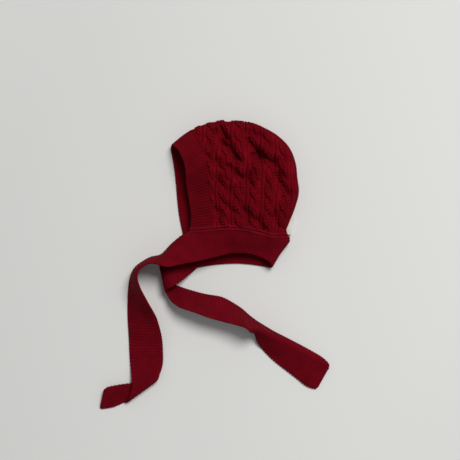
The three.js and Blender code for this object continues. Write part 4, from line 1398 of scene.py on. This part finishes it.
class BONNET_OT_label(bpy.types.Operator):
    """Make the bare side label, a folded tab of woven tape"""

    bl_idname = "bonnet.label"
    bl_label = "Label"

    # Sizes in millimetres.
    bend = 0.62  # radius of the tape's own fold
    thickness = 0.4
    wave = 0.35  # how far the free edge waves up and down
    wave_turn = 2.2 * math.pi  # how far that wave turns along the label
    steps = (40, 25)  # points along the label and round the folded tape

    def execute(self, context):
        looks = context.scene.bonnet_looks
        low, high = (np.array(corner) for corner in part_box("label"))
        centre = (low + high) * 500 - ORIGIN
        finish = tape("label_tape", looks.label_color)
        lowest = NAPE_LENGTH - LABEL_ABOVE_SEAM
        ends = fold_curve.at(np.array([lowest, lowest - LABEL_LENGTH]) / fold_curve.length)
        along = unit(ends[1] - ends[0])
        outward = np.array([along[1], -along[0]])
        start = (centre[:2] - ends[0]) @ outward - LABEL_WIDTH / 2 - LABEL_SEWN
        rows = []
        for v in np.linspace(0, 1, self.steps[0]):
            ring = []
            wave = self.wave * math.sin(self.wave_turn * v)
            foot = ends[0] + along * v * LABEL_LENGTH
            for part in np.linspace(0, 1, self.steps[1]):
                reach, height = self.loop(part)
                spot = foot + outward * (start + reach)
                ring.append((*spot, centre[2] + height + wave * reach / LABEL_WIDTH))
            rows.append(ring)
        outer = np.array(rows)
        normals = grid_normals(outer)
        if normals[20, 2, 2] < 0:
            normals = -normals
        inner = outer - normals * self.thickness
        verts, quads = shell(outer, inner, {"left": [], "right": [], "first": [], "last": []})
        label = mesh_object("label_tab", verts, quads, None, finish)
        dressed(label, "label_tape", "label")
        return {"FINISHED"}

    def loop(self, part):
        """Distance out from the seam and height, along the folded tape from its upper end."""
        straight = LABEL_WIDTH + LABEL_SEWN - self.bend
        total = 2 * straight + math.pi * self.bend
        at = part * total
        if at < straight:
            return at, self.bend
        if at < total - straight:
            angle = (at - straight) / self.bend
            return straight + self.bend * math.sin(angle), self.bend * math.cos(angle)
        return total - at, -self.bend


class VIEW3D_PT_bonnet(bpy.types.Panel):
    """Pieces and settings of the bonnet"""

    bl_label = "Knitted Bonnet"
    bl_space_type = "VIEW_3D"
    bl_region_type = "UI"
    bl_category = "Bonnet"

    def draw(self, context):
        layout = self.layout
        for group in (context.scene.bonnet_knit, context.scene.bonnet_looks):
            for name in group.__annotations__:
                layout.prop(group, name)
        for operator in STEPS:
            layout.operator(operator.bl_idname)


STEPS = (
    BONNET_OT_stage,
    BONNET_OT_crown,
    BONNET_OT_face_band,
    BONNET_OT_strap,
    BONNET_OT_seam,
    BONNET_OT_label,
)
CLASSES = (BonnetKnit, BonnetLooks, *STEPS, VIEW3D_PT_bonnet)


def register():
    for item in CLASSES:
        bpy.utils.register_class(item)
    bpy.types.Scene.bonnet_knit = bpy.props.PointerProperty(type=BonnetKnit)
    bpy.types.Scene.bonnet_looks = bpy.props.PointerProperty(type=BonnetLooks)


def unregister():
    del bpy.types.Scene.bonnet_looks
    del bpy.types.Scene.bonnet_knit
    for item in reversed(CLASSES):
        bpy.utils.unregister_class(item)


def main():
    register()
    bpy.ops.bonnet.stage()
    bpy.ops.bonnet.crown()
    bpy.ops.bonnet.face_band()
    bpy.ops.bonnet.strap()
    bpy.ops.bonnet.seam()
    bpy.ops.bonnet.label()


if __name__ == "__main__":
    main()
